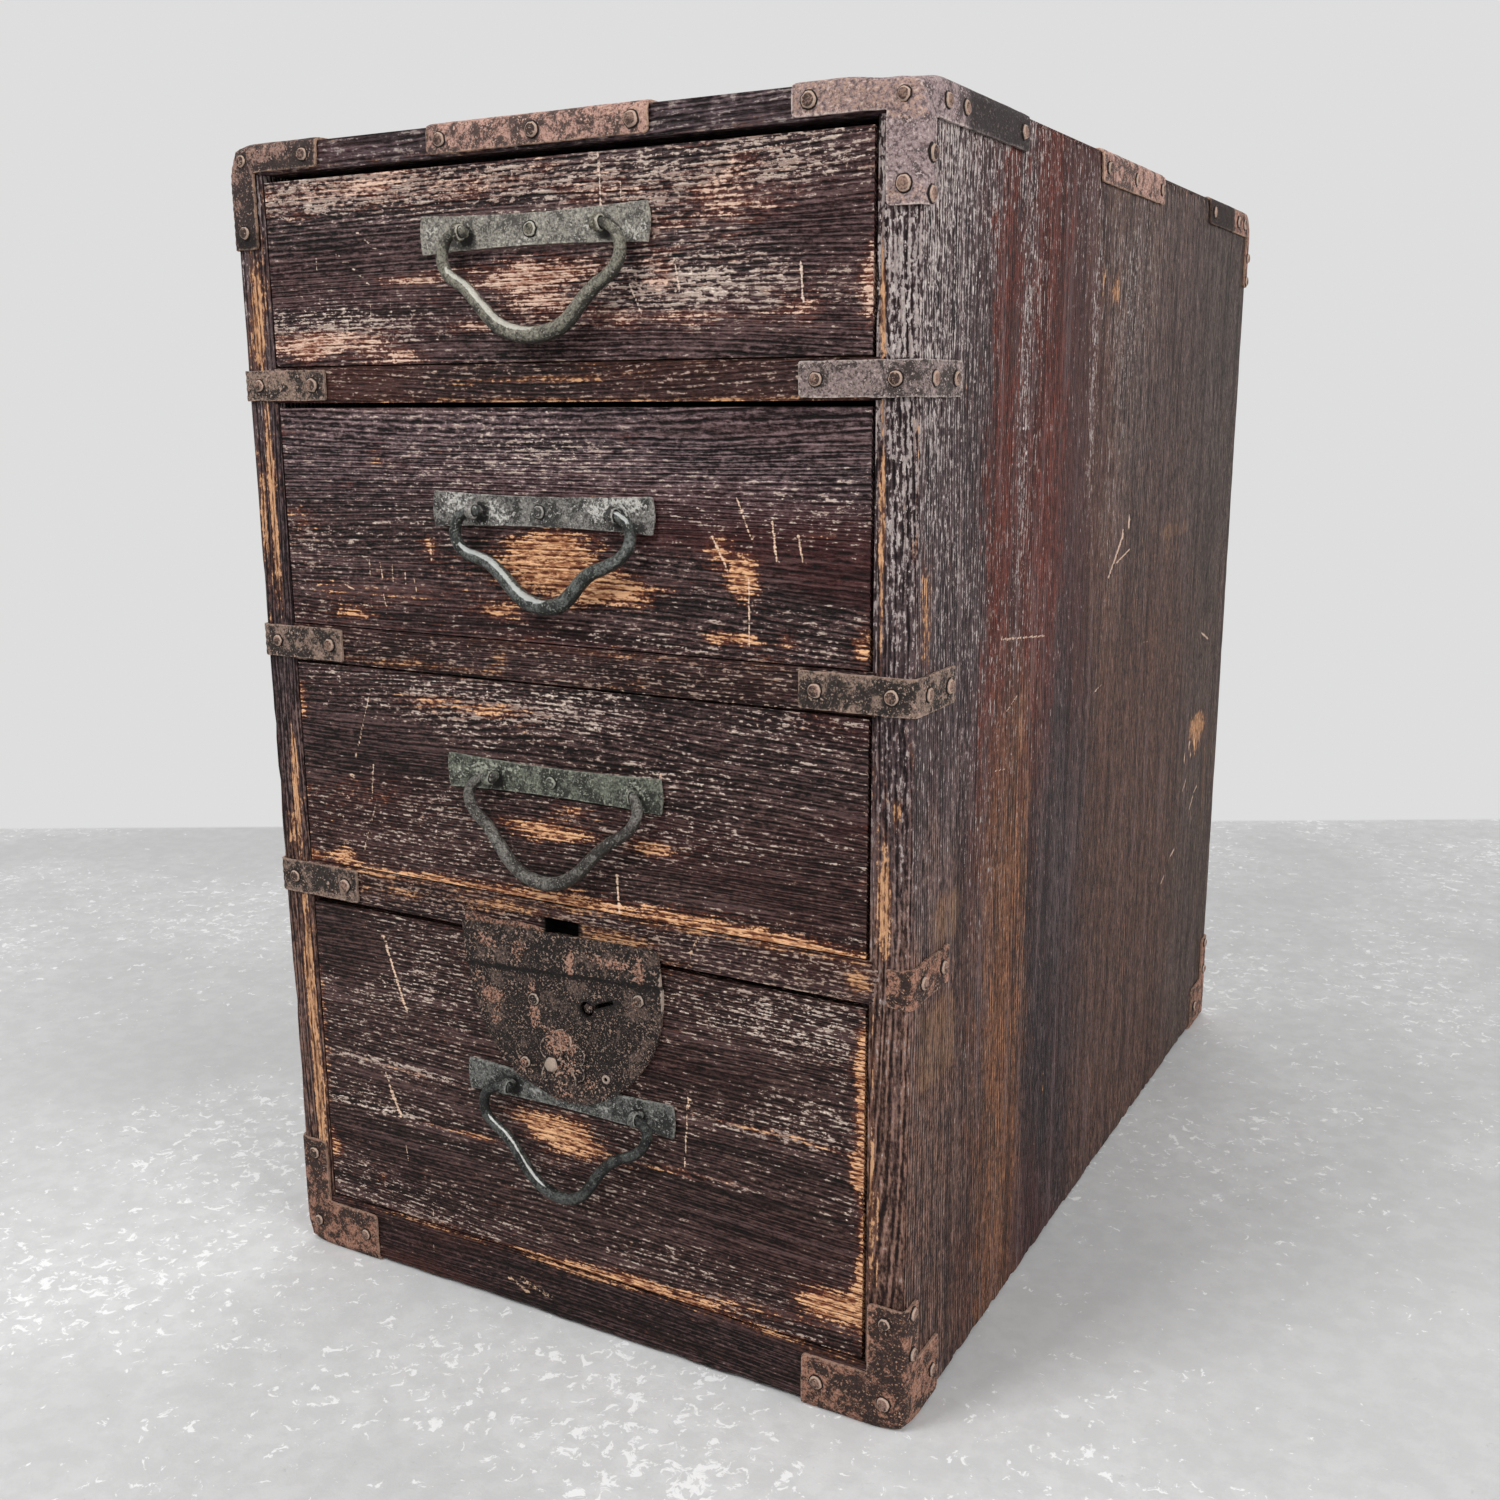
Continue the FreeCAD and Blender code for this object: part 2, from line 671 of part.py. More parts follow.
def lock_plate():
    """Forged plate in three steps: a band over the rail, the body, and a lip over the handle."""
    crease = lock_crease
    fold = (crease[0] + lock_riser, crease[1] + lock_riser)
    lap = handle_z(lowest) + plate_waist_h / 2 + lock_lap_play - opening_roof(lowest)
    top = (plate_reach, plate_reach)
    foot = (-plate_reach, -plate_reach)
    slabs = [
        lock_slab(crease, top, lock_band_step, lock_plate_t),
        lock_slab(crease, fold, 0, lock_plate_t + lock_band_step),
        lock_slab((lap, lap), fold, 0, lock_plate_t),
        lock_slab((lap, lap), (lap + lock_riser, lap + lock_riser), 0, lock_plate_t + lock_lap_step),
        lock_slab(foot, (lap + lock_riser, lap + lock_riser), lock_lap_step, lock_plate_t),
    ]
    plate = fuse([slab for slab in slabs if slab.Volume > 0])
    through = 2 * (lock_plate_t + lock_lap_step)
    front = V(0, drawer_y - through, 0)
    holes = [
        rod(V(key_x, 0, key_z) + front, V(0, 1, 0), 2 * through, key_hole_r),
        rod(V(eyelet_x, 0, eyelet_z) + front, V(0, 1, 0), 2 * through, eyelet_r),
    ]
    slot = box((key_x, key_x + key_slot_l), (front.y, drawer_y + through),
               (key_z - key_slot_w / 2, key_z + key_slot_w / 2))
    slot.rotate(V(key_x, 0, key_z), V(0, -1, 0), key_slot_angle)
    plate = plate.cut(holes + [slot])
    plate.translate(V(0, 0, opening_roof(lowest)))
    return drill(plate, lock_nail_holes())


def lock_nail_seats():
    return [(V(x, drawer_y - lock_plate_t, lock_z(z)), V(0, -1, 0)) for x, z in lock_nails]


def lock_nail_holes():
    return [nail_hole(seat, outward) for seat, outward in lock_nail_seats()]


def locked_front(board):
    """Cut the drawer front for the lock case and for the bolt's way up."""
    case = box((lock_case_left - lock_case_play, lock_case_right + lock_case_play),
               (drawer_y, drawer_y + lock_case_depth + lock_case_play),
               (lock_z(lock_case_bottom - lock_case_play), lock_z(lock_case_top + lock_case_play)))
    reach = bolt_w / 2 + 2 * bolt_play
    way = box((bolt_x - reach, bolt_x + reach),
              (drawer_y, drawer_y + bolt_inset + bolt_t + 2 * bolt_play),
              (lock_z(lock_case_top), opening_roof(lowest)))
    return drill(board.cut([case, way]), lock_nail_holes())


def lock_case():
    """Iron box behind the lock plate, open towards it, slotted on top for the bolt."""
    x = (lock_case_left, lock_case_right)
    z = (lock_z(lock_case_bottom), lock_z(lock_case_top))
    outside = box(x, (drawer_y, drawer_y + lock_case_depth), z)
    inside = box((x[0] + lock_case_wall, x[1] - lock_case_wall),
                 (drawer_y, drawer_y + lock_case_depth - lock_case_wall),
                 (z[0] + lock_case_wall, z[1] - lock_case_wall))
    reach = bolt_w / 2 + bolt_play
    slot = box((bolt_x - reach, bolt_x + reach),
               (drawer_y, drawer_y + bolt_inset + bolt_t + bolt_play),
               (z[1] - lock_case_wall, z[1]))
    return drill(outside.cut([inside, slot]), lock_nail_holes())


def bolt_top():
    return drawer_span(lowest)[1] - bolt_below


def lock_bolt():
    """Upright bolt with a foot, drawn down: the drawer is unlocked."""
    y = (drawer_y + bolt_inset, drawer_y + bolt_inset + bolt_t)
    low = bolt_top() - bolt_length
    right = bolt_x + bolt_w / 2
    upright = box((right - bolt_w, right), y, (low, bolt_top()))
    foot = box((right - bolt_w - bolt_foot_w, right), y, (low, low + bolt_foot_h))
    return fuse([upright, foot])


def key_pin():
    """Drill pin that the hollow key turns on, just behind the face of the lock plate."""
    back = drawer_y + lock_case_depth - lock_case_wall
    front = drawer_y - lock_plate_t + key_pin_recess
    return rod(V(key_x, back, lock_z(key_z)), V(0, -1, 0), back - front, key_pin_r)


def lock_spring():
    """Bowed leaf spring that bears on the side of the bolt."""
    bolt_side = bolt_x + bolt_w / 2 + spring_gap
    low = lock_case_bottom + lock_case_wall
    high = key_z - key_pin_r - 2 * spring_t
    ends = bolt_side + spring_bow
    near = [(ends, low), (bolt_side, (low + high) / 2), (ends, high)]
    far = [(x + spring_t, z) for x, z in near]
    outline = Part.Wire([arc(*near), line(near[2], far[2]), arc(*reversed(far)), line(far[0], near[0])])
    leaf = prism(outline, drawer_y + bolt_inset + bolt_t, spring_w)
    leaf.translate(V(0, 0, opening_roof(lowest)))
    return leaf


def lock_boss():
    """Low round boss with shallow lobes sunk in it and a domed stud."""
    front = drawer_y - lock_plate_t
    seat = V(boss_x, front, lock_z(boss_z))
    disc = rod(seat, V(0, -1, 0), boss_h, boss_r)
    lobes = []
    for k in range(boss_lobes):
        angle = math.pi / 2 + 2 * math.pi * k / boss_lobes
        offset = V(math.cos(angle), 0, math.sin(angle)) * boss_lobe_out
        start = seat + offset + V(0, boss_lobe_depth - boss_h, 0)
        lobes.append(rod(start, V(0, -1, 0), boss_h, boss_lobe_r))
    disc = disc.cut(lobes)
    stud = dome(V(stud_x, front - boss_h + boss_lobe_depth, lock_z(stud_z)), V(0, -1, 0),
                stud_r, stud_h)
    return disc.fuse(stud).removeSplitter()


def lock_fittings():
    nails = [nail(seat, outward) for seat, outward in lock_nail_seats()]
    return Part.makeCompound([key_pin(), lock_spring(), lock_boss()] + nails)


# --- Assembly --------------------------------------------------------------------------------
def build_case():
    yield "side_left", side_panel(-1)
    yield "side_right", side_panel(1)
    yield "top_panel", top_panel()
    yield "bottom_panel", bottom_panel()
    yield "back_boards", back_boards()
    yield "back_pegs", Part.makeCompound(PEGS)
    for i in range(lowest - 1):
        yield f"rail_{i + 1}", rail(i)
    yield f"rail_{lowest}", locking_rail()
    yield "base_rail", rail(lowest)
    for i in range(lowest):
        yield f"shelf_{i + 1}", shelf(i)


def build_irons():
    for name, sx in (("left", -1), ("right", 1)):
        yield f"iron_top_front_{name}", drilled([corner_iron(sx, -1, 1, top_iron)])
        yield f"iron_bottom_front_{name}", drilled([corner_iron(sx, -1, -1, bottom_iron)])
    yield "irons_top_back", drilled([corner_iron(sx, 1, 1, top_iron) for sx in (-1, 1)])
    yield "irons_bottom_back", drilled([corner_iron(sx, 1, -1, bottom_iron) for sx in (-1, 1)])
    yield "strap_top_front", drilled([top_front_strap()])
    yield "straps_top_sides", drilled([top_side_strap(sx) for sx in (-1, 1)])
    yield "rail_straps", drilled([rail_strap(sx, i, strap_face(sx, i))
                                  for sx in (-1, 1) for i in range(len(rail_heights))])
    yield "iron_nails", Part.makeCompound([nail(seat, outward) for seat, outward in IRON_NAILS])
    yield "strike_plate", strike_plate()


def build_drawers():
    for i in range(len(opening_heights)):
        name = f"drawer_{i + 1}"
        yield f"{name}_front", drawer_front(i)
        yield f"{name}_side_left", drawer_side(i, -1)
        yield f"{name}_side_right", drawer_side(i, 1)
        yield f"{name}_back", drawer_back(i)
        yield f"{name}_bottom", drawer_bottom(i)
        yield f"{name}_handle_plate", handle_plate(i)
        yield f"{name}_handle_eyes", handle_eyes(i)
        yield f"{name}_bail", bail(i)


def build_lock():
    yield "lock_plate", lock_plate()
    yield "lock_case", lock_case()
    yield "lock_bolt", lock_bolt()
    yield "lock_fittings", lock_fittings()


os.makedirs("parts", exist_ok=True)
for group in (build_case, build_irons, build_drawers, build_lock):
    for node, shape in group():
        shape.exportStep(f"parts/{node}.step")
        print(f"{node:26s} solids {len(shape.Solids):3d}  volume {shape.Volume:12.1f}")
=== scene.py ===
"""Funa-dansu ship chest: weathered boards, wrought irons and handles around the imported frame."""
import math

import bmesh
import bpy
import numpy as np
from mathutils import Matrix, Vector
from mathutils.geometry import delaunay_2d_cdt


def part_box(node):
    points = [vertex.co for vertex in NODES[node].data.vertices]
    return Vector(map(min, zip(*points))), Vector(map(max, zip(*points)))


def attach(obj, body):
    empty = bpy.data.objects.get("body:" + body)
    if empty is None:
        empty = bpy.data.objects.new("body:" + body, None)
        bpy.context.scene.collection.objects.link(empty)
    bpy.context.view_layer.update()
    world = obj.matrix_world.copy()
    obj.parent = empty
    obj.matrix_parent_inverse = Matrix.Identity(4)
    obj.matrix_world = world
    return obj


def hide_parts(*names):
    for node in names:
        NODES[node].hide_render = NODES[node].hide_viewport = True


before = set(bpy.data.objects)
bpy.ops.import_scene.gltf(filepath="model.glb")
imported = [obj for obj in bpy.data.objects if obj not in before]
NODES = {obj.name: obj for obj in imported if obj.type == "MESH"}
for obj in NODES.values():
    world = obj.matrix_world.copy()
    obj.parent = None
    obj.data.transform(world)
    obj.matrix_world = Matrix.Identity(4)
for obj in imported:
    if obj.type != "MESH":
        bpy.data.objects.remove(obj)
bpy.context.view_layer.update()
MM = 0.001                      # lengths below are in millimetres unless they say otherwise
X, Y, Z = 0, 1, 2


def cad(node):
    low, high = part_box(node)
    return np.array(low) / MM, np.array(high) / MM


SIDE_LOW, SIDE_HIGH = cad("side_right")
HALF = SIDE_HIGH[X]
FRONT, BACK = SIDE_LOW[Y], SIDE_HIGH[Y]
BASE, TOP = SIDE_LOW[Z], SIDE_HIGH[Z]
CASE_LOW = np.array([-HALF, FRONT, BASE])
CASE_HIGH = np.array([HALF, BACK, TOP])
CASE_ROUND = 1.6                # rounding of the case's arrises
SHARP = math.radians(48)        # steeper edges are shaded sharp
IRON = 1.2                      # thickness of the irons
IRON_ROUND = 2.4                # rounding of the irons' corners
DRAWER_Y = cad("drawer_1_front")[0][Y]
ON_FRONT = FRONT + 1.5          # points nearer than this are on the case's front
DRAWERS = (1, 2, 3, 4)
SIDES = ((-1, "left"), (1, "right"))


# --- Noise -----------------------------------------------------------------------------------
def lattice_value(i, j, k, seed):
    """Fixed pseudo-random value from -1 to 1 for each cell corner."""
    h = (i * 374761393 + j * 668265263 + k * 1440662683 + seed * 83492791) & 0xFFFFFFFF
    h = ((h ^ (h >> 13)) * 1274126177) & 0xFFFFFFFF
    return ((h ^ (h >> 16)) & 0xFFFF) / 32767.5 - 1.0


def noise(p, size, seed):
    """Smooth value noise from -1 to 1 whose features measure size along x, y and z."""
    q = p / np.broadcast_to(np.asarray(size, float), 3)
    cell = np.floor(q).astype(np.int64)
    f = q - cell
    f = f * f * (3 - 2 * f)
    total = 0.0
    for dx in (0, 1):
        wx = f[:, 0] if dx else 1 - f[:, 0]
        for dy in (0, 1):
            wy = f[:, 1] if dy else 1 - f[:, 1]
            for dz in (0, 1):
                wz = f[:, 2] if dz else 1 - f[:, 2]
                value = lattice_value(cell[:, 0] + dx, cell[:, 1] + dy, cell[:, 2] + dz, seed)
                total = total + wx * wy * wz * value
    return total


def rough_noise(p, size, seed, octaves=3):
    """Noise from -1 to 1 with finer layers on top of the broad one."""
    size = np.broadcast_to(np.asarray(size, float), 3)
    layers = [noise(p, size / 2 ** k, seed + 7 * k) / 2 ** k for k in range(octaves)]
    return sum(layers) / sum(0.5 ** k for k in range(octaves))


def smooth_step(low, high, value):
    t = np.clip((value - low) / (high - low), 0, 1)
    return t * t * (3 - 2 * t)


def sizes(axis, along, across):
    """Noise sizes for a grain that runs along one axis."""
    out = np.full(3, float(across))
    out[axis] = along
    return out


# --- Lattice solids --------------------------------------------------------------------------
def grid_lines(low, high, step, marks):
    """Even places from low to high, at most a step apart, that also meet the marks."""
    stops = sorted({round(low, 4), round(high, 4), *[round(m, 4) for m in marks if low < m < high]})
    out = [stops[0]]
    for a, b in zip(stops, stops[1:]):
        n = max(1, math.ceil((b - a) / step - 1e-6))
        out += [a + (b - a) * (k + 1) / n for k in range(n)]
    return np.array(out)


def lattice(low, high, step, notches=(), rounding=1.5, marks=((), (), ())):
    """Closed surface of a box less its notches. Returns points and quads."""
    axes = []
    for a in range(3):
        stops = list(marks[a])
        for part in (0.3, 0.65, 1.0):
            stops += [low[a] + part * rounding, high[a] - part * rounding]
        for n_low, n_high in notches:
            stops += [n_low[a], n_high[a]]
        axes.append(grid_lines(low[a], high[a], step[a], stops))
    middles = [(line[1:] + line[:-1]) / 2 for line in axes]
    full = np.ones([len(m) for m in middles], bool)
    for n_low, n_high in notches:
        inside = [(m > a) & (m < b) for m, a, b in zip(middles, n_low, n_high)]
        full[np.ix_(*inside)] = False
    padded = np.pad(full, 1)
    shape = [len(line) for line in axes]
    index = np.arange(np.prod(shape)).reshape(shape)
    unit = np.eye(3, dtype=int)
    quads = []
    for axis in range(3):
        u, v = unit[(axis + 1) % 3], unit[(axis + 2) % 3]
        for side in (0, 1):
            beside = np.roll(padded, -1 if side else 1, axis)[1:-1, 1:-1, 1:-1]
            base = np.argwhere(full & ~beside) + side * unit[axis]
            ring = [base, base + u, base + u + v, base + v]
            if not side:
                ring.reverse()
            quads.append(np.stack([index[tuple(c.T)] for c in ring], 1))
    used, quads = np.unique(np.concatenate(quads), return_inverse=True)
    place = np.stack(np.unravel_index(used, shape), 1)
    points = np.stack([axes[a][place[:, a]] for a in range(3)], 1)
    return points, quads.reshape(-1, 4)


def on_box(points, low, high):
    """Which coordinates of each point lie on a plane of the box."""
    return (np.abs(points - low) < 1e-6) | (np.abs(points - high) < 1e-6)


def wrap(points, low, high, radius, out):
    """Points on a box's planes, brought on to the box with rounded edges and moved out from it."""
    radius = np.broadcast_to(np.asarray(radius, float), len(points))[:, None]
    core = np.clip(points, low + radius, high - radius)
    away = points - core
    length = np.linalg.norm(away, axis=1, keepdims=True)
    safe = np.where(length > 1e-9, length, 1)
    moved = core + away / safe * (radius + np.asarray(out, float).reshape(-1, 1))
    return np.where(length > 1e-9, moved, points)


def edge_distance(points, low, high):
    """Distance from the nearest edge of the box, for points on its faces."""
    gaps = np.concatenate([points - low, high - points], 1)
    return np.sort(gaps, axis=1)[:, 1]


# --- Pieces ----------------------------------------------------------------------------------
KNOCKS = (((HALF, FRONT, TOP), (-1.6, 1.8, -2.0), 9.0),            # the crushed corner
          ((HALF - 16, FRONT, TOP), (0, 0.5, -1.4), 8.0),
          ((HALF, FRONT, BASE), (-1.5, 1.6, 0.5), 8.0),
          ((-HALF, FRONT, TOP), (1.6, 1.4, -1.2), 7.0),
          ((-HALF, FRONT, BASE), (1.0, 1.2, 0.4), 7.0),
          ((HALF, BACK, TOP), (-1.0, -1.0, -1.0), 7.0),
          ((-HALF, BACK, TOP), (1.0, -1.0, -0.8), 7.0))


def dents(points):
    """Points of the carcass moved by its knocks: centre, push and reach of each."""
    out = points.copy()
    for centre, push, reach in KNOCKS:
        near = np.exp(-((points - np.array(centre)) ** 2).sum(1) / reach ** 2)
        out += near[:, None] * np.array(push)
    return out


def piece(name, points, faces, body, slot, material, nodes=(), **attributes):
    """Mesh object from points in millimetres, riding on a body and standing for CAD nodes.

    The normals are worked out here, so the faces may wind either way.
    """
    mesh = bpy.data.meshes.new(name)
    mesh.from_pydata(points * MM, [], faces if isinstance(faces, list) else faces.tolist())
    for key, values in attributes.items():
        layer = mesh.attributes.new(key, "FLOAT", "POINT")
        layer.data.foreach_set("value", np.asarray(values, np.float32))
    shell = bmesh.new()
    shell.from_mesh(mesh)
    bmesh.ops.recalc_face_normals(shell, faces=shell.faces)
    shell.to_mesh(mesh)
    shell.free()
    mesh.shade_smooth()
    mesh.set_sharp_from_angle(angle=SHARP)
    mesh.materials.append(material)
    obj = bpy.data.objects.new(name, mesh)
    bpy.context.scene.collection.objects.link(obj)
    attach(obj, body)
    if nodes:
        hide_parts(*nodes)
    return obj


# --- Boards ----------------------------------------------------------------------------------
def grain_lines(p, along, across, spacing, seed):
    """How many lines of the grain lie before each point, as a smooth count."""
    deep = 3 - along - across
    c = p[:, across] + 0.8 * p[:, deep] + 7.0 * noise(p, sizes(along, 230, 36), seed)
    c = c + 2.0 * noise(p, sizes(along, 95, 12), seed + 1) + 0.6 * noise(p, sizes(along, 38, 4.5), seed + 2)
    return c / spacing


def raised_grain(p, along, lines, seed, depth):
    """Depth of the hollows between the raised lines of the grain."""
    hollow = 0.5 - 0.5 * np.cos(2 * math.pi * lines)
    uneven = 0.75 + 0.25 * noise(p, sizes(along, 30, 6), seed + 3)
    bands = noise(p, sizes(along, 240, 11), seed + 4)
    return depth * hollow * uneven + 0.25 * (0.5 + 0.5 * bands) * depth / 0.4


def blob_wear(a, c, blobs, square=2):
    """Sum of placed patches (middle, half sizes, strength), below 0 where the lacquer is spared."""
    wear = np.zeros(len(a))
    for ma, mc, ra, rc, strength in blobs:
        near = np.exp(-(np.abs((a - ma) / ra) ** square + np.abs((c - mc) / rc) ** square))
        wear += strength * near
    return wear


def scratch_mask(a, c, scratches):
    """Placed scratches: two ends, width and strength."""
    mask = np.zeros(len(a))
    for a0, c0, a1, c1, width, strength in scratches:
        along = np.array([a1 - a0, c1 - c0])
        t = np.clip(((a - a0) * along[0] + (c - c0) * along[1]) / (along @ along), 0, 1)
        off = np.hypot(a - a0 - t * along[0], c - c0 - t * along[1])
        mask = np.maximum(mask, strength * np.exp(-(off / width) ** 2))
    return mask


def scratch_rows(scratches, places):
    """Extra places along the grain that keep short scratches across it sharp; places picks the ends."""
    rows = []
    for *ends, width, _ in scratches:
        low, high = sorted(ends[k] for k in places)
        if high - low < 12:
            rows += list(np.arange(low - 1.5 * width, high + 1.5 * width, 0.7))
    return rows


def knocked_ends(p, low, high, eroded, seed):
    """Depth lost on ragged, eroded planes: axis, whether at its high end, amount and noise sizes."""
    lost = np.zeros(len(p))
    for axis, at_high, amount, size in eroded:
        plane = (high if at_high else low)[axis]
        reach = np.exp(-((p[:, axis] - plane) / 3.0) ** 2)
        lost = lost + amount * reach * np.clip(rough_noise(p, size, seed) + 0.15, 0, 1)
    return lost


def board(name, low, high, along, across, seed, body, slot, material, nodes, notches=(), step=(6.0, 1.1, 4.0),
          rounding=1.5, depth=0.4, line=1.9, blobs=(), scratches=(), edge_wear=0.35, eroded=(),
          carcass=True, rough=None, extra=None, faded=(), soot=None):
    """Weathered board: grain along one axis, worn edges, and placed wear seen square to across and along."""
    deep = 3 - along - across
    face = (along, across) if across == Z else (across, along)
    spacing = np.zeros(3)
    spacing[[along, across, deep]] = step
    marks = [[], [], []]
    marks[along] = scratch_rows(scratches, (0, 2) if face[0] == along else (1, 3))
    p, quads = lattice(low, high, spacing, notches, rounding, marks)
    outer = on_box(p, low, high)
    skin = outer.any(1)
    lines = grain_lines(p, along, across, line, seed)
    rough_here = np.ones(len(p)) if rough is None else rough(p)
    a, c = p[:, face[0]], p[:, face[1]]
    placed = blob_wear(a, c, blobs)
    sink = raised_grain(p, along, lines, seed, depth) * rough_here * (1 - 0.3 * np.clip(placed, 0, 1))
    far = edge_distance(p, low, high)
    chip = np.clip(rough_noise(p, (14, 14, 14), seed + 11), 0, 1)
    radius = rounding * (1 + 0.8 * chip)
    sink = sink + 0.5 * chip * np.exp(-(far / 2.5) ** 2)
    ends = outer[:, along]
    sink = np.where(ends, 0.25 * sink + 0.25 * (1 + noise(p, 2.2, seed + 12)), sink)
    scratch = scratch_mask(a, c, scratches)
    sink = sink + knocked_ends(p, low, high, eroded, seed + 13) + 0.45 * scratch
    sink = np.minimum(sink, 0.92 * radius + 2.2)
    q = np.where(skin[:, None], wrap(p, low, high, radius, -sink), p)
    if carcass:
        q = dents(q)
    uneven = 0.6 + 0.5 * noise(p, sizes(along, 45, 9), seed + 14)
    wear = edge_wear * np.exp(-(far / 2.2) ** 2) * uneven + placed
    if extra is not None:
        wear = wear + extra(p)
    return piece(name, q, quads, body, slot, material, nodes, wear=np.clip(wear, -0.6, 1.2),
                 scratch=scratch, lines=lines, rough=rough_here, faded=blob_wear(a, c, faded, 6),
                 soot=np.zeros(len(p)) if soot is None else soot(p))


# --- Sheets of iron --------------------------------------------------------------------------
def rounded(corners):
    """Outline from corners (s, t, radius), walked anticlockwise."""
    out = []
    n = len(corners)
    for k, (s, t, radius) in enumerate(corners):
        here = np.array([s, t], float)
        if radius <= 0:
            out.append(here)
            continue
        before = np.array(corners[k - 1][:2], float) - here
        after = np.array(corners[(k + 1) % n][:2], float) - here
        before /= np.linalg.norm(before)
        after /= np.linalg.norm(after)
        a, b = here + before * radius, here + after * radius
        for share in (0.0, 0.25, 0.5, 0.75, 1.0):
            out.append((1 - share) ** 2 * a + 2 * share * (1 - share) * here + share ** 2 * b)
    return np.array(out)


def dense(loop, spacing):
    """The loop with points about a spacing apart."""
    out = []
    for a, b in zip(loop, np.roll(loop, -1, 0)):
        n = max(1, int(round(np.linalg.norm(b - a) / spacing)))
        out += [a + (b - a) * k / n for k in range(n)]
    return np.array(out)


def inside(points, loop):
    """Which points lie inside a closed loop."""
    x, y = points[:, 0], points[:, 1]
    hit = np.zeros(len(points), bool)
    for (x0, y0), (x1, y1) in zip(loop, np.roll(loop, -1, 0)):
        if y0 == y1:
            continue
        crosses = (y0 > y) != (y1 > y)
        hit ^= crosses & (x < (x1 - x0) * (y - y0) / (y1 - y0) + x0)
    return hit


def staggered_grid(low, high, spacing):
    """Points of an even triangular grid over a rectangle."""
    rows = []
    for k, t in enumerate(np.arange(low[1], high[1], spacing * 0.87)):
        s = np.arange(low[0] + (k % 2) * spacing / 2, high[0], spacing)
        rows.append(np.column_stack([s, np.full(len(s), t)]))
    return np.concatenate(rows)


def within(points, loops):
    """Which points lie inside the first loop and outside the others."""
    keep = inside(points, loops[0])
    for hole in loops[1:]:
        keep &= ~inside(points, hole)
    return keep


def flat_sheet(outline, spacing, holes=(), ragged=0.12, seed=0):
    """Triangulated flat shape with holes: points (s, t) and triangles."""
    rim = dense(outline, spacing)
    flat = np.column_stack([rim, np.zeros(len(rim))])
    rim = rim + ragged * np.column_stack([noise(flat + 5, 3.1, seed), noise(flat + 91, 3.1, seed + 1)])
    loops = [rim] + [dense(h, min(spacing, 0.6)) for h in holes]
    grid = staggered_grid(rim.min(0), rim.max(0), spacing)
    grid = grid[within(grid, loops)]
    edge_points = np.concatenate(loops)
    for start in range(0, len(edge_points), 400):
        near = edge_points[start:start + 400]
        gap = ((grid[:, None] - near[None]) ** 2).sum(2).min(1)
        grid = grid[gap > (0.55 * spacing) ** 2]
    every = np.concatenate(loops + [grid])
    edges, base = [], 0
    for loop in loops:
        edges += [(base + k, base + (k + 1) % len(loop)) for k in range(len(loop))]
        base += len(loop)
    verts, _, faces, *_ = delaunay_2d_cdt([Vector(v) for v in every], edges, [], 0, 1e-6)
    verts = np.array([tuple(v) for v in verts])
    faces = np.array([f for f in faces if len(f) == 3])
    faces = faces[within(verts[faces].mean(1), loops)]
    a, b, c = (verts[faces[:, k]] for k in range(3))
    backward = np.cross(b - a, c - a) < 0
    faces[backward] = faces[backward][:, ::-1]
    return verts, faces


def thickened(flat, faces, lay, thickness):
    """Closed sheet: lay(flat, height) puts the flat points on their surface, back and front."""
    n = len(flat)
    points = np.concatenate([lay(flat, np.zeros(n)), lay(flat, np.full(n, thickness))])
    edges = {(int(a), int(b)) for f in faces for a, b in zip(f, np.roll(f, -1))}
    rim = [(a, b) for a, b in edges if (b, a) not in edges]
    out = [tuple(int(i) + n for i in f) for f in faces]
    out += [tuple(int(i) for i in f[::-1]) for f in faces]
    out += [(a, b, b + n, a + n) for a, b in sorted(rim)]
    return points, out


def bevelled(obj, width=0.3, angle=50):
    """Rounds an object's sharp edges."""
    bevel = obj.modifiers.new("worn_edge", "BEVEL")
    bevel.width = width * MM
    bevel.segments = 2
    bevel.limit_method = "ANGLE"
    bevel.angle_limit = math.radians(angle)
    return obj


def hammered(p, seed):
    """How far a wrought sheet stands off its seat: low dents and a slight lift."""
    return 0.16 + 0.16 * rough_noise(p, 13.0, seed) + 0.05 * noise(p, 3.4, seed + 3)


def case_net(sx, sy, sz):
    """Map (s, t): s < 0 on the front or back, s > 0 on the side, t > 0 folded over the end."""
    corner = np.array([sx * HALF, FRONT if sy < 0 else BACK, TOP if sz > 0 else BASE])

    def lay(flat, height):
        s, t = flat[:, 0], flat[:, 1]
        face_in = np.clip(-s, 0, None)
        side_in = np.clip(s, 0, None)
        fold = np.clip(t, 0, None)
        face = (s < 0) & (t > 0)
        side = (s >= 0) & (t > 0)
        u = face_in + np.where(side, fold, 0)
        v = side_in + np.where(face, fold, 0)
        w = np.clip(-t, 0, None)
        p0 = corner + np.column_stack([-sx * u, -sy * v, -sz * w])
        seed = int(40 + sx * 3 + sy * 5 + sz * 11)
        return dents(wrap(p0, CASE_LOW, CASE_HIGH, CASE_ROUND, hammered(p0, seed) + height))
    return lay


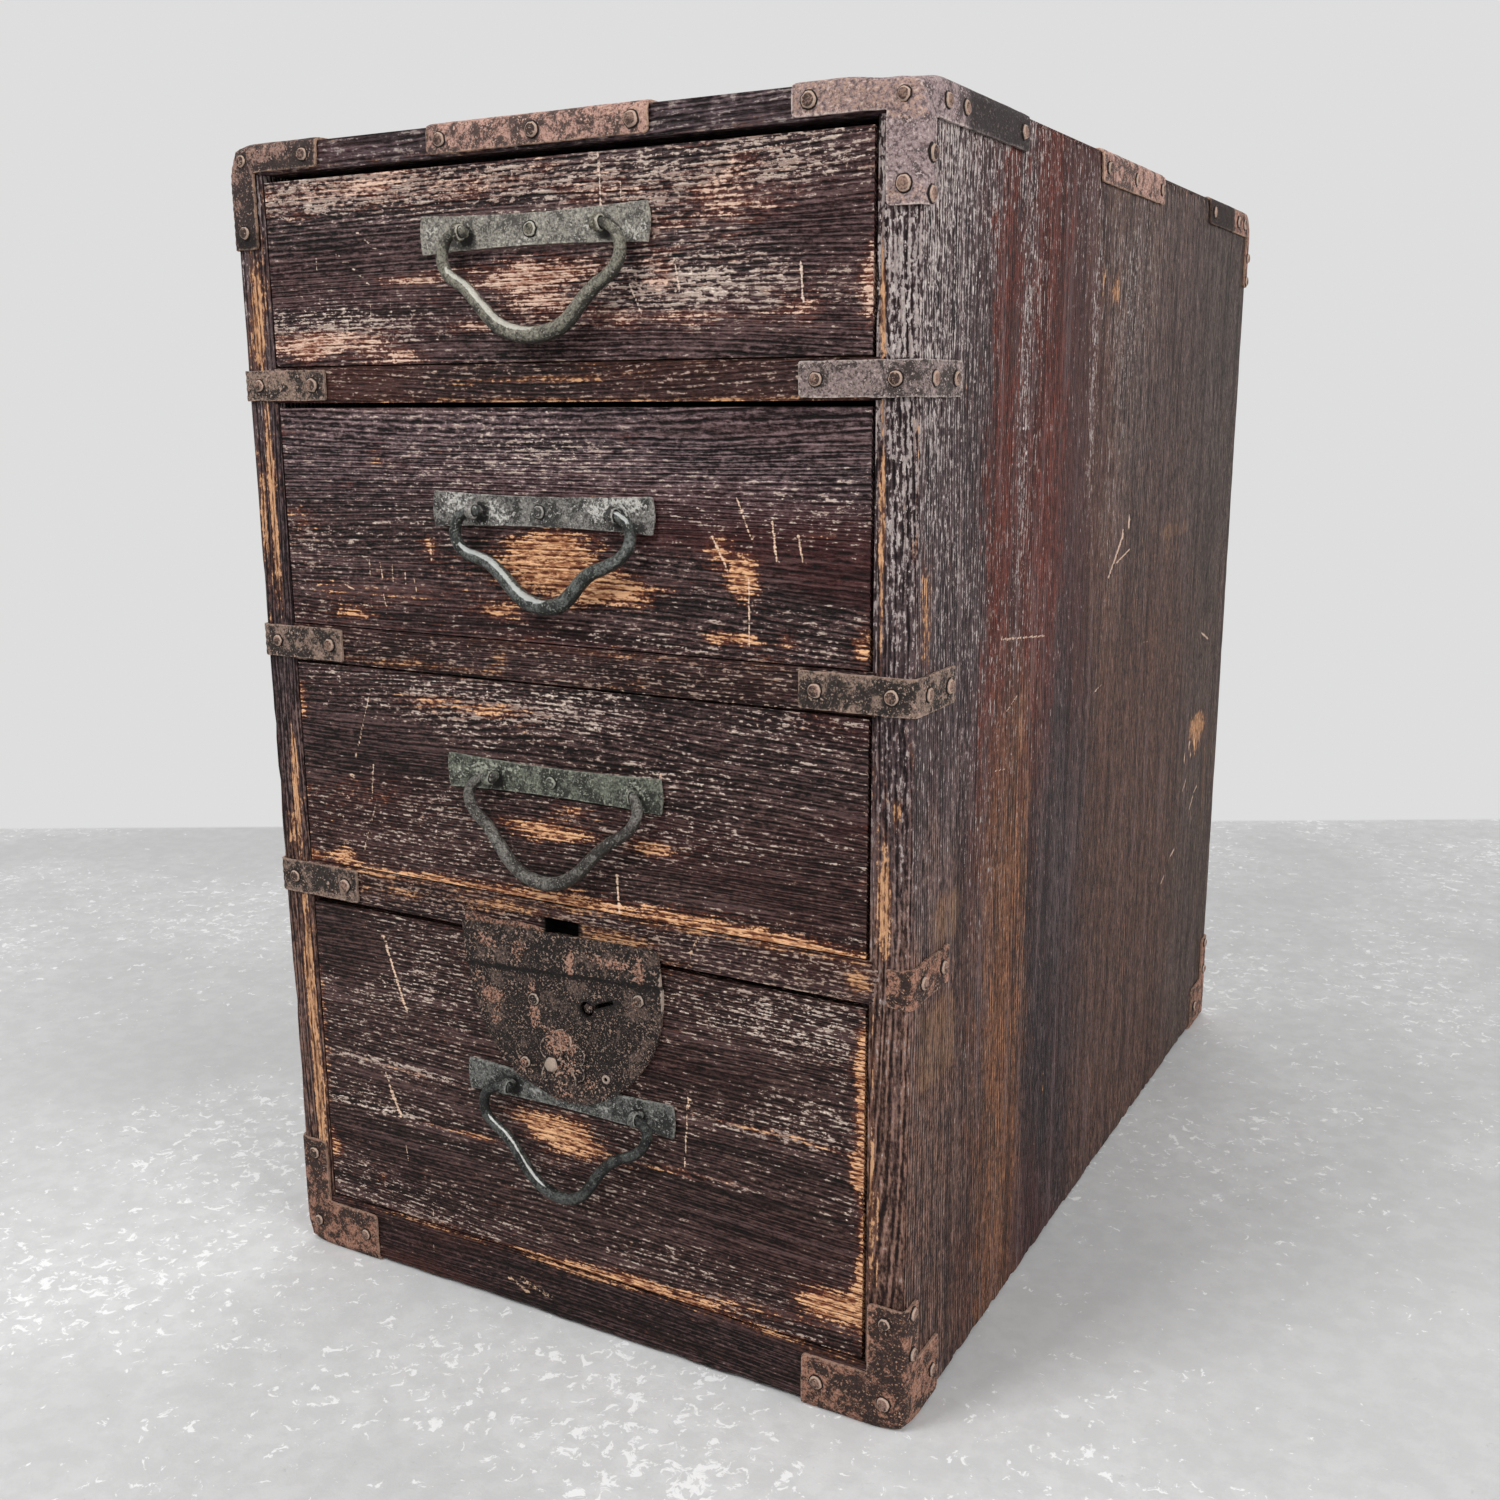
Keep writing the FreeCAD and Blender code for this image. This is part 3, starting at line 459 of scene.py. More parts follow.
def merge(parts):
    """One mesh from parts (points, faces, rim, black), the marks of which may be left out; rim carries
    painted highlights and black carries black scale and painted shade.
    """
    points, faces, marks, base = [], [], ([], []), 0
    for part_points, part_faces, *given in parts:
        n = len(part_points)
        points.append(np.asarray(part_points, float))
        faces += [tuple(int(i) + base for i in f) for f in part_faces]
        for k in (0, 1):
            marks[k].append(given[k] if k < len(given) else np.zeros(n))
        base += n
    return np.concatenate(points), faces, np.concatenate(marks[0]), np.concatenate(marks[1])


def ring_faces(rings, around, first=0, closed=False):
    """Quads between rings of points that follow each other."""
    faces = []
    for k in range(rings if closed else rings - 1):
        a, b = first + k * around, first + (k + 1) % rings * around
        faces += [(a + i, b + i, b + (i + 1) % around, a + (i + 1) % around) for i in range(around)]
    return faces


def cap_faces(ring, around, tip):
    """Triangles from a ring of points to a tip."""
    return [(ring + i, ring + (i + 1) % around, tip) for i in range(around)]


def turns(count):
    """Angles evenly round a circle."""
    return 2 * math.pi * np.arange(count) / count


def lathe(profile, around, place):
    """Closed turned piece. The profile runs (radius, height) from the foot to the tip of the axis."""
    points = [place(0, 0, profile[0][1])]
    for r, h in profile:
        points += [place(r * math.cos(a), r * math.sin(a), h) for a in turns(around)]
    points.append(place(0, 0, profile[-1][1]))
    faces = ring_faces(len(profile), around, 1) + cap_faces(1, around, 0)
    faces += cap_faces(len(points) - 1 - around, around, len(points) - 1)
    return np.array(points), faces


# share of the radius, share of the height, painted highlight ring, painted shade at the foot
NAIL_PROFILE = [(0.35, 0.96, 0.0, 0.0), (0.66, 0.86, 0.0, 0.0), (0.82, 0.74, 1.0, 0.0),
                (0.93, 0.42, 1.0, 0.2), (1.0, 0.12, 0.0, 1.8), (1.13, 0.05, 0.0, 2.3), (1.13, -0.2, 0.0, 2.3)]
NAIL_AROUND = 16


def nail_head(seat, outward, radius, height, rng):
    """One domed head with a painted highlight ring and a black foot of painted shade, a little out of round
    and tilted.
    """
    out = np.array(outward, float)
    side = np.cross(out, (0.3, 0.5, 0.8))
    side /= np.linalg.norm(side)
    other = np.cross(out, side)
    r = radius * rng.uniform(0.9, 1.1)
    h = height * rng.uniform(0.75, 1.15)
    tilt = rng.uniform(-0.12, 0.12, 2)
    wobble = rng.uniform(0.92, 1.06, NAIL_AROUND)
    points = [np.array(seat) + out * h]
    for share, level, _, _ in NAIL_PROFILE:
        reach = share * r * (1 + (wobble - 1) * min(share, 1))
        a, b = np.cos(turns(NAIL_AROUND)) * reach, np.sin(turns(NAIL_AROUND)) * reach
        rise = h * level + (a * tilt[0] + b * tilt[1]) * 0.5 * (level > 0.2)
        points += list(np.array(seat) + np.outer(a, side) + np.outer(b, other) + np.outer(rise, out))
    points.append(np.array(seat) - out * h * 0.2)
    foot = len(points) - 1
    faces = ring_faces(len(NAIL_PROFILE), NAIL_AROUND, 1) + cap_faces(1, NAIL_AROUND, 0)
    faces += cap_faces(foot - NAIL_AROUND, NAIL_AROUND, foot)
    marks = [np.concatenate([[0], np.repeat([row[m] for row in NAIL_PROFILE], NAIL_AROUND), [0]])
             for m in (2, 3)]
    return np.array(points), faces, *marks


def nail_heads(seats, radius, height, seed):
    """Heads on their seats. A seat is a point and the way out of the wood."""
    rng = np.random.default_rng(seed)
    return merge([nail_head(*seat, radius, height, rng) for seat in seats])


# --- Materials -------------------------------------------------------------------------------
def tone(code):
    """Linear colour of a hex code."""
    parts = [int(code[i:i + 2], 16) / 255 for i in (0, 2, 4)]
    return tuple(c / 12.92 if c <= 0.04045 else ((c + 0.055) / 1.055) ** 2.4 for c in parts) + (1.0,)


class Graph:
    """Short way to write a material's nodes."""

    def __init__(self, name):
        self.material = bpy.data.materials.new(name)
        self.material.use_nodes = True
        self.tree = self.material.node_tree
        self.tree.nodes.clear()
        self.out = self.add("ShaderNodeOutputMaterial")
        self.shader = self.add("ShaderNodeBsdfPrincipled")
        self.tree.links.new(self.shader.outputs[0], self.out.inputs[0])
        self.place = self.add("ShaderNodeTexCoord").outputs["Object"]

    def add(self, kind, **settings):
        node = self.tree.nodes.new(kind)
        for key, value in settings.items():
            setattr(node, key, value)
        return node

    def put(self, socket, value):
        """Link or set a socket."""
        if isinstance(value, bpy.types.NodeSocket):
            self.tree.links.new(value, socket)
        else:
            socket.default_value = value

    def math(self, operation, a, b=0.0):
        node = self.add("ShaderNodeMath", operation=operation)
        self.put(node.inputs[0], a)
        self.put(node.inputs[1], b)
        return node.outputs[0]

    def total(self, *terms, bias=0.0):
        """Sum of (socket, weight) terms."""
        out = None
        for socket, weight in terms:
            node = self.add("ShaderNodeMath", operation="MULTIPLY_ADD")
            self.put(node.inputs[0], socket)
            node.inputs[1].default_value = weight
            self.put(node.inputs[2], bias if out is None else out)
            out = node.outputs[0]
        return out

    def noise(self, size, seed=0.0, detail=2.0, rough=0.55, warp=0.0):
        """Noise from 0 to 1, about 0.5, whose features measure size along x, y and z."""
        size = np.broadcast_to(np.asarray(size, float), 3)
        mapping = self.add("ShaderNodeMapping")
        self.put(mapping.inputs["Vector"], self.place)
        mapping.inputs["Scale"].default_value = [1 / (s * MM) for s in size]
        mapping.inputs["Location"].default_value = (seed * 3.17, seed * 1.91, seed * 2.43)
        node = self.add("ShaderNodeTexNoise")
        self.put(node.inputs["Vector"], mapping.outputs[0])
        node.inputs["Scale"].default_value = 1.0
        node.inputs["Detail"].default_value = detail
        node.inputs["Roughness"].default_value = rough
        node.inputs["Distortion"].default_value = warp
        return node.outputs[0]

    def step(self, value, low, high, to_low=0.0, to_high=1.0):
        """Smooth step from to_low to to_high as the value goes from low to high."""
        node = self.add("ShaderNodeMapRange", interpolation_type="SMOOTHSTEP")
        self.put(node.inputs[0], value)
        for socket, number in zip(list(node.inputs)[1:5], (low, high, to_low, to_high)):
            socket.default_value = number
        return node.outputs[0]

    def product(self, a, b):
        return self.math("MULTIPLY", a, b)

    def mix(self, factor, a, b):
        """From a to b; either is a socket or a hex code."""
        node = self.add("ShaderNodeMix", data_type="RGBA")
        self.put(node.inputs[0], factor)
        self.put(node.inputs[6], tone(a) if isinstance(a, str) else a)
        self.put(node.inputs[7], tone(b) if isinstance(b, str) else b)
        return node.outputs[2]

    def attribute(self, name):
        return self.add("ShaderNodeAttribute", attribute_name=name).outputs["Fac"]

    def axis(self, k):
        node = self.add("ShaderNodeSeparateXYZ")
        self.put(node.inputs[0], self.place)
        return node.outputs[k]

    def bump(self, height, depth, strength=1.0):
        node = self.add("ShaderNodeBump")
        node.inputs["Strength"].default_value = strength
        node.inputs["Distance"].default_value = depth * MM
        self.put(node.inputs["Height"], height)
        self.put(self.shader.inputs["Normal"], node.outputs[0])

    def finish(self, color, roughness):
        """The material with its colour and roughness."""
        self.put(self.shader.inputs["Base Color"], color)
        self.put(self.shader.inputs["Roughness"], roughness)
        return self.material


BLUSH_Z = (0.414, 0.422)        # metres, over the first rail
SOOT_AND_SHADE = "050303"
SCALE_AND_SHADE_BLACK = "120e0d"


def lacquered(name, along, tones, zones=None, flecks=0.0, wear=0.0, contrast=1.0, k=1.0, blush=False):
    """Old lacquer over raised grain: black grooves, paler ridges with painted sheen, pale flecks that are
    partly worn lacquer and partly painted highlight, painted glints, bare wood beneath.

    k scales the fine grain, zones adds placed colours, and blush pales the bare wood above BLUSH_Z.
    """
    groove, ridge, deep, red, fleck, glint, stain, bare, bright = tones
    g = Graph(name)
    worn, scratch = g.attribute("wear"), g.attribute("scratch")
    lines, rough = g.attribute("lines"), g.attribute("rough")
    streak = g.noise(sizes(along, 19 * k, 2.1 * k), 1, 4, 0.62, 0.2)
    fine = g.noise(sizes(along, 2.9 * k, 0.9 * k), 2, 3, 0.6)
    patch = g.noise(sizes(along, 45, 12), 3, 5, 0.65, 0.5)
    broad = g.noise(sizes(along, 240, 55), 4, 2, 0.5)
    nick = g.noise(1.8 * k, 5, 3, 0.7)
    dash = g.noise(sizes(along, 7 * k, 1.3 * k), 6, 3, 0.6)
    long = g.noise(sizes(along, 130, 6), 7, 4, 0.62)
    wave = g.math("COSINE", g.total((lines, 2 * math.pi), (streak, 5.0)))
    ripple = g.math("COSINE", g.total((lines, 1.62 * 2 * math.pi), (streak, 7.0), (patch, 6.0)))
    # lacquer
    raised = g.total((wave, 0.22), (ripple, 0.16), (fine, 1.3), (dash, 1.6), (nick, 1.0), (rough, 0.25),
                     bias=-1.78)
    # painted sheen: the raised grain mixes from the groove tone to the paler ridge tone
    shine = g.step(raised, 0.0, 0.9)
    base = g.mix(shine, groove, ridge)
    base = g.mix(g.step(patch, 0.44, 0.62, 0, 0.5), base, deep)
    base = g.mix(g.step(broad, 0.47, 0.62, 0, 0.5), base, red)
    if zones is not None:
        base = zones(g, base, patch, streak, shine)
    base = g.mix(g.step(long, 0.52, 0.68, 0, 0.45), base, ridge)
    base = g.mix(g.step(long, 0.34, 0.49, 0.6, 0), base, groove)
    base = g.mix(g.step(raised, -0.25, 0.15, 0.9, 0), base, groove)
    # pale flecks: partly worn lacquer, partly painted highlight on the ridges
    lit = g.total((dash, 0.8), (fine, 0.9), (wave, 0.07), (nick, 0.6), (patch, 0.22), (worn, 0.10),
                  (rough, 0.28), bias=flecks - 0.96)
    base = g.mix(g.step(lit, 0.645, 0.715, 0, contrast), base, fleck)
    # glints: tiny painted highlights
    spark = g.total((fine, 1.0), (nick, 0.7), (wave, 0.05), (patch, 0.2), (rough, 0.25),
                    bias=flecks - 0.63)
    base = g.mix(g.step(spark, 0.73, 0.79, 0, contrast), base, glint)
    # bare wood, paler and pinker high up
    if blush:
        top = g.step(g.axis(Z), *BLUSH_Z)
        bare, bright = g.mix(top, bare, "ae806b"), g.mix(top, bright, "e0bfab")
    gone = g.total((worn, 0.75), (wave, 0.06), (ripple, 0.04), (streak, 0.60), (patch, 0.85), (nick, 0.50),
                   (fine, 0.60), bias=wear - 1.275)
    base = g.mix(g.step(gone, 0.12, 0.36, 0, 0.7), base, stain)
    pale = g.step(g.total((streak, 1.0), (fine, 0.9), (dash, 0.5), bias=-0.7), 0.38, 0.62)
    between = g.total((wave, 0.30), (ripple, 0.20), (fine, 1.4), (dash, 1.7), (nick, 0.6), bias=-1.85)
    wood = g.mix(g.step(between, -0.40, 0.05, 0.95, 0), g.mix(pale, bare, bright),
                 g.mix(g.step(between, -0.85, -0.40), groove, stain))
    bare_mask = g.step(gone, 0.33, 0.42, 0, 0.96)
    color = g.mix(bare_mask, base, wood)
    scored = g.step(g.total((scratch, 1.0), (nick, 1.3), (fine, 0.9), bias=-1.1), 0.42, 0.60, 0, 0.9)
    color = g.mix(scored, color, g.mix(0.5, bright, glint))
    # blackens the dark joint of the back, and as painted shade the inside of the bolt's mortise
    color = g.mix(g.attribute("soot"), color, SOOT_AND_SHADE)
    g.shader.inputs["Specular IOR Level"].default_value = 0.13
    relief = g.total((wave, 0.20), (ripple, 0.14), (fine, 1.2), (dash, 1.2), (nick, 0.6), (bare_mask, -0.25))
    g.bump(relief, 0.7)
    return g.finish(color, g.step(g.total((bare_mask, 0.6), (fine, 0.5)), 0.15, 0.9, 0.55, 0.88))


def plain_wood(name, along, light, dark):
    """Bare inner wood, aged."""
    g = Graph(name)
    streak = g.noise(sizes(along, 60, 2.4), 1, 4, 0.6, 0.3)
    fine = g.noise(sizes(along, 16, 0.8), 2, 2)
    patch = g.noise(60, 3, 3)
    color = g.mix(g.step(streak, 0.34, 0.68), dark, light)
    color = g.mix(g.step(fine, 0.52, 0.72, 0, 0.4), color, dark)
    color = g.mix(g.step(patch, 0.45, 0.7, 0, 0.35), color, dark)
    g.bump(g.total((streak, 1.0), (fine, 0.5)), 0.25, 0.7)
    return g.finish(color, g.step(streak, 0.3, 0.7, 0.7, 0.85))


def wrought(name, main, light, dark, pit, spots, rim="b3937d", specks=0.5, bloom="c08a72", metal=0.15,
            rough=(0.6, 0.88), size=4.4):
    """Wrought iron with rust, dark scale and pits, paler along its rims where it is rubbed and where a
    highlight is painted, darkened by the black mark, with placed bloom.
    """
    g = Graph(name)
    edge, black = g.attribute("rim"), g.attribute("black")
    scale = g.noise(size * 1.5, 1, 8, 0.70, 0.4)
    broad = g.noise(size * 4.0, 2, 3, 0.55)
    speck = g.noise(size * 0.36, 3, 4, 0.7)
    grit = g.noise(0.8, 4, 2, 0.6)
    color = g.mix(g.step(g.total((speck, 0.8), (grit, 0.4), bias=-0.1), 0.40, 0.60), main, light)
    shade = g.total((scale, 1.3), (broad, 0.60), (speck, 0.55), (black, 0.30),
                    bias=-0.725 + (spots - 0.5) * 0.4)
    color = g.mix(g.step(shade, 0.50, 0.55, 0, 0.93), color, dark)
    placed = g.total((g.attribute("bloom"), 0.55), (scale, 1.0), (speck, 1.2), (grit, 0.5), bias=-1.35)
    color = g.mix(g.step(placed, 0.30, 0.40, 0, 0.85), color, g.mix(g.step(speck, 0.4, 0.6), main, bloom))
    pitted = g.total((speck, 1.0), (grit, 0.6), (scale, 0.4), bias=-0.5)
    color = g.mix(g.step(pitted, 0.66 - 0.12 * specks, 0.74 - 0.12 * specks, 0, 0.85), color, pit)
    color = g.mix(g.step(g.total((speck, 1.0), (grit, 0.8), bias=-0.40), 0.45, 0.36, 0, 0.7), color, dark)
    # painted highlight: the rim mark pales rubbed rims and paints highlights on edges, lips and rods
    color = g.mix(g.step(g.total((edge, 1.0), (speck, 1.6), bias=-0.8), 0.40, 0.80, 0, 0.75), color, rim)
    # the black mark: black scale on the irons, and painted shade at nail feet, crevices, holes, the crease
    # and undersides
    color = g.mix(g.step(black, 0.8, 1.8, 0, 0.9), color, SCALE_AND_SHADE_BLACK)
    g.shader.inputs["Metallic"].default_value = metal
    g.shader.inputs["Specular IOR Level"].default_value = 0.25
    g.bump(g.total((scale, 1.2), (speck, 1.2), (grit, 0.5)), 0.6)
    return g.finish(color, g.step(g.total((scale, 0.6), (speck, 0.4)), 0.35, 0.65, *rough))


def band(g, value, low, high, soft):
    """1 between low and high."""
    return g.product(g.step(value, low - soft, low + soft), g.step(value, high - soft, high + soft, 1, 0))


def side_zones(g, base, patch, streak, shine):
    """Colour bands from the front to the back of a side: black, red, brown, grey-brown."""
    def tint(factor, below, dark, light):
        return g.mix(factor, below, g.mix(shine, dark, light))

    depth = g.total((g.axis(Y), 1.0), (patch, 0.08), (streak, 0.06), bias=-0.07)
    up = g.total((g.axis(Z), 1.0), (patch, 0.25), bias=-0.125)
    high, low = g.step(up, 0.20, 0.34), g.step(up, 0.20, 0.34, 0.85, 0)
    red, brown = ("32110c", "874334"), ("38251e", "936c59")
    front = tint(g.step(up, 0.18, 0.30), g.mix(shine, "2e201e", "a08379"), "150d10", "645354")
    base = g.mix(g.step(depth, -0.215, -0.180, 0.9, 0), base, front)
    for start, end, soft, share in ((-0.178, -0.150, 0.008, 0.8), (-0.132, -0.088, 0.012, 0.75)):
        base = tint(g.product(g.product(band(g, depth, start, end, soft), high), share), base, *red)
    base = tint(g.product(band(g, depth, -0.170, -0.120, 0.02), low), base, "4c2e1e", "b07a58")
    base = tint(g.step(depth, -0.07, 0.0, 0, 0.75), base, *brown)
    upper_back = g.product(g.step(depth, -0.06, 0.02), g.step(up, 0.26, 0.40, 0, 0.65))
    base = tint(upper_back, base, "2a2221", "857570")
    base = tint(g.step(depth, 0.10, 0.20, 0, 0.6), base, "2e2622", "786c64")
    lower_front = g.product(g.step(depth, -0.20, -0.16, 1, 0), g.step(up, 0.16, 0.24, 0.55, 0))
    base = tint(lower_front, base, *brown)
    faded = g.total((g.attribute("faded"), 1.0), (patch, 1.6), (streak, 1.0), bias=-1.3)
    return tint(g.step(faded, 0.25, 0.75, 0, 0.8), base, "6b4c3a", "967860")


def front_zones(g, base, patch, streak, shine):
    """Browner towards the foot, greyer on the first drawer, a purple sheen high on the second."""
    low = g.step(g.total((g.axis(Z), 1.0), (patch, 0.12), bias=-0.06), 0.17, 0.34, 0.75, 0)
    base = g.mix(low, base, g.mix(shine, "180b0a", "5e453e"))
    base = g.mix(g.step(g.axis(Z), 0.416, 0.424, 0, 0.5), base, g.mix(shine, "0a0608", "806a69"))
    sheen = g.product(band(g, g.axis(Z), 0.372, 0.42, 0.012), 0.6)
    return g.mix(sheen, base, g.mix(shine, "1a0f14", "9c8487"))


# tones: groove, ridge with painted sheen, deep, red, fleck of worn lacquer and painted highlight, painted
# glint, stain, bare wood, bright bare wood
FRONT_WOOD = lacquered("front_lacquer", X, ("080404", "6c5351", "190f11", "451c1b", "bba89c", "e6d6c8",
                                            "5e2f22", "a56f4e", "ecb88c"), front_zones, blush=True)
SIDE_WOOD = lacquered("side_lacquer", Z, ("150d0e", "6b5959", "2a1e20", "4e2a24", "9f9390", "c6bab5",
                                          "5e3c2f", "9a7254", "cf9f78"), side_zones, k=1.15)
TOP_WOOD = lacquered("top_lacquer", X, ("100809", "6a585c", "2a1c20", "462626", "a3968f", "cabdb3",
                                        "5b3b2f", "93705a", "c49c7c"), None, -0.05, contrast=0.7, k=1.5)
RAIL_WOOD = lacquered("rail_lacquer", X, ("0c0605", "5c4442", "22120f", "4a261e", "a89184", "cfb9a5",
                                          "5c3626", "9c7052", "cf9f78"), None, -0.01)
BACK_WOOD = lacquered("back_wood", Z, ("211813", "6a584d", "2e241f", "543c2d", "8f8073", "ab9a8b",
                                       "614534", "84664e", "a98868"), None, -0.02, 0.05, 0.7)
INNER_X = plain_wood("inner_wood_x", X, "9c7d5c", "6b4f37")
INNER_Y = plain_wood("inner_wood_y", Y, "9c7d5c", "6b4f37")
PEG_WOOD = plain_wood("peg_wood", Y, "86694c", "5a4430")

# tones: main, light, dark scale, pits; then the share of scale, and the tone of the rims, rubbed metal and
# painted highlight
RUST = wrought("rusted_iron", "90665a", "b08a7a", "362c2b", "c9a18b", 0.50, specks=0.4)
RUST_LEFT = wrought("left_iron", "7d6157", "9a7b6e", "2a2322", "b8968a", 0.58, specks=0.45)
RUST_STRAP = wrought("strap_iron", "9d776a", "bd998b", "453937", "d2ab9a", 0.46, specks=0.45)
RUST_PURPLE = wrought("purple_iron", "857170", "a39190", "4c4041", "c4b2ae", 0.45, "c8b8b2", 0.55, "b0907e")
RUST_FOOT = wrought("foot_iron", "845d4c", "a67c69", "261e1d", "bb937d", 0.55, "a98a78", 0.4)
RUST_DARK = wrought("dark_iron", "705e53", "947c6f", "221e1d", "b89d8e", 0.60, "a3897a")
STRAP_GREY = wrought("grey_iron", "786865", "968581", "39322f", "c0aea8", 0.50, "c4b5ae")
NAIL_IRON = wrought("nail_iron", "7b6156", "977a6c", "382c29", "b59683", 0.50, "c2a897", 0.4)
PLATES = [wrought(*row, metal=0.2, rough=(0.45, 0.7), size=4.0) for row in (
    ("plate_iron", "7b7770", "9c978c", "4a4743", "bdb8ac", 0.42, "b4afa3", 0.5, "d6d2c9"),
    ("grey_plate_iron", "6a6763", "88847f", "302e2c", "bcb8b2", 0.54, "aaa69f", 0.5, "d8d5ce"),
    ("green_plate_iron", "575a50", "75796b", "2b2b27", "a3a495", 0.54, "a1a294", 0.6, "bcbfae"),
    ("dark_plate_iron", "555552", "757571", "262625", "a09f9a", 0.52, "96958f", 0.6, "a5a49f"))]
EYE_IRON = wrought("eye_iron", "625b4f", "85806f", "2c2925", "aaa595", 0.52, "c8c3b4", 0.45,
                   metal=0.2, rough=(0.45, 0.7), size=3.0)
# number, tones as above, then metal, roughness and size of the rust
BAILS_IRON = [wrought(f"bail_iron_{n}", *tones, metal=metal, rough=rough, size=size)
              for n, tones, metal, rough, size in (
    (1, ("67645a", "868275", "3a3833", "aaa699", 0.40, "c9c6bb", 0.4), 0.4, (0.34, 0.5), 4.0),
    (2, ("4c4e4b", "6b6e6b", "2a2c2a", "96978f", 0.48, "c2c4c0", 0.4), 0.5, (0.34, 0.5), 4.0),
    (3, ("5d5a55", "7d7973", "302d2a", "a6a29b", 0.50, "aba8a2", 0.45), 0.4, (0.34, 0.5), 3.0),
    (4, ("3c3e3c", "555855", "1e1f1e", "81827e", 0.48, "d5d5d1", 0.3), 0.5, (0.3, 0.45), 4.0))]
LOCK_IRON = wrought("lock_iron", "493b35", "68554c", "130f0e", "a3897a", 0.77, "b5a294", 0.75, "c08d76",
                    rough=(0.5, 0.8), size=3.6)
BOLT_IRON = wrought("bolt_iron", "3d3936", "55504b", "2a2826", "6a5a4d", 0.5, metal=0.5, rough=(0.4, 0.6),
                    size=5.0)

# --- Drawers ---------------------------------------------------------------------------------
LOCKED = 4
ROOF_4 = 183.7                  # roof of the locked drawer's opening
BOLT_X, BOLT_HALF = -0.7, 7.6   # the bolt's middle, and half its way
# worn patches: middle x and z, half sizes, strength
DRAWER_WEAR = {
    1: [(-105, 499, 55, 5, 0.38), (-35, 495, 55, 7, 0.42), (-125, 489, 30, 3, 0.30), (35, 490, 25, 8, 0.30),
        (85, 483, 38, 14, 0.40), (95, 455, 40, 10, 0.22), (-3, 461, 40, 8, 0.62), (-68, 461, 20, 3, 0.62),
        (5, 449, 28, 5, 0.35), (-112, 437, 42, 7, 0.55), (-125, 434, 8, 5, 0.5), (-70, 431, 14, 4, 0.5),
        (-34, 441, 16, 3, 0.45), (55, 442, 45, 4, 0.42), (116, 443, 8, 5, 0.4), (143, 452, 5, 16, 0.5),
        (57, 458, 8, 7, 0.4), (-100, 471, 55, 11, -0.35), (-10, 434, 50, 4, -0.5), (120, 472, 18, 8, -0.4),
        (100, 430, 45, 4, -0.4)],
    2: [(2, 350, 22, 11, 0.75), (0, 341, 48, 13, 0.42), (-26, 326, 14, 4, 0.5), (33, 336, 18, 7, 0.4),
        (-134, 359, 12, 9, 0.42), (-90, 390, 8, 6, 0.35), (-62, 352, 5, 5, 0.4), (91, 347, 9, 9, 0.85),
        (79, 356, 5, 7, 0.5), (92, 323, 6, 3, 0.6), (78, 322, 8, 3, 0.5), (110, 323, 6, 4, 0.45),
        (141, 322, 5, 8, 0.7), (-100, 330, 45, 12, 0.25), (-105, 320, 14, 2, 0.5), (122, 346, 20, 8, -0.6),
        (105, 398, 45, 14, -0.4)],
    3: [(-3, 234, 27, 5, 0.80), (8, 244, 14, 3, 0.5), (48, 233, 14, 3, 0.5), (-45, 284, 58, 4, 0.48),
        (-142, 277, 4, 8, 0.6), (-118, 240, 34, 7, 0.38), (-123, 207, 9, 5, 0.7), (-142, 204, 8, 4, 0.55),
        (-70, 202, 45, 3, 0.6), (30, 205, 75, 4.5, 0.55), (110, 202, 35, 3, 0.6), (-105, 260, 45, 13, -0.4),
        (100, 262, 40, 20, -0.2), (100, 222, 45, 8, -0.3), (137, 232, 8, 3, 0.35)],
    4: [(0, 92, 22, 9, 0.72), (-15, 98, 22, 5, 0.5), (60, 90, 26, 3, 0.45), (-48, 81, 14, 2.5, 0.5),
        (100, 119, 42, 2.0, 0.45), (80, 92, 34, 1.8, 0.35), (-68, 81, 20, 1.6, 0.45),
        (142, 146, 4, 32, 0.75), (141, 110, 4, 7, 0.75), (143, 72, 3.5, 26, 0.7), (128, 48, 15, 9, 0.8),
        (140, 52, 6, 9, 0.4), (95, 37, 26, 4, 0.42), (20, 29, 70, 2.6, 0.75), (45, 33, 40, 3, 0.5),
        (-112, 47, 5, 5, 0.45), (-141, 55, 4, 7, 0.55), (-50, 168, 7, 7, 0.45), (-144, 130, 3, 50, 0.3),
        (-100, 105, 45, 1.8, 0.35), (-128, 165, 20, 18, -0.5), (95, 78, 42, 18, -0.5),
        (85, 143, 45, 10, -0.2), (-90, 68, 50, 8, -0.2)],
}
# where the lacquer is rougher or smoother: as above
DRAWER_ROUGH = {
    1: [(-100, 471, 55, 12, -0.65), (0, 434, 60, 5, -0.5), (120, 472, 22, 8, -0.6), (100, 430, 50, 5, -0.5),
        (-100, 440, 45, 12, 0.6), (-80, 497, 75, 8, 0.9), (60, 490, 60, 14, 0.7), (80, 455, 70, 12, 0.5)],
    2: [(105, 398, 45, 14, -0.6), (122, 346, 20, 9, -0.8), (-110, 370, 30, 14, -0.1),
        (-80, 333, 60, 16, -0.25), (0, 388, 60, 12, 0.15)],
    3: [(-105, 262, 45, 14, -0.5), (100, 222, 50, 10, -0.4), (-90, 220, 50, 12, 0.1),
        (-30, 285, 90, 9, 0.3), (75, 265, 40, 14, -0.05)],
    4: [(-128, 165, 22, 20, -0.8), (95, 78, 46, 20, -0.7), (85, 143, 50, 10, -0.4),
        (-100, 64, 50, 10, -0.5), (95, 168, 50, 12, 0.4), (-80, 155, 28, 22, 0.3), (-100, 45, 40, 12, 0.1),
        (-98, 106, 44, 2.2, 0.9), (100, 119, 42, 2.2, 0.6), (85, 91, 35, 2.2, 0.6),
        (-100, 81, 45, 1.8, 0.6)],
}
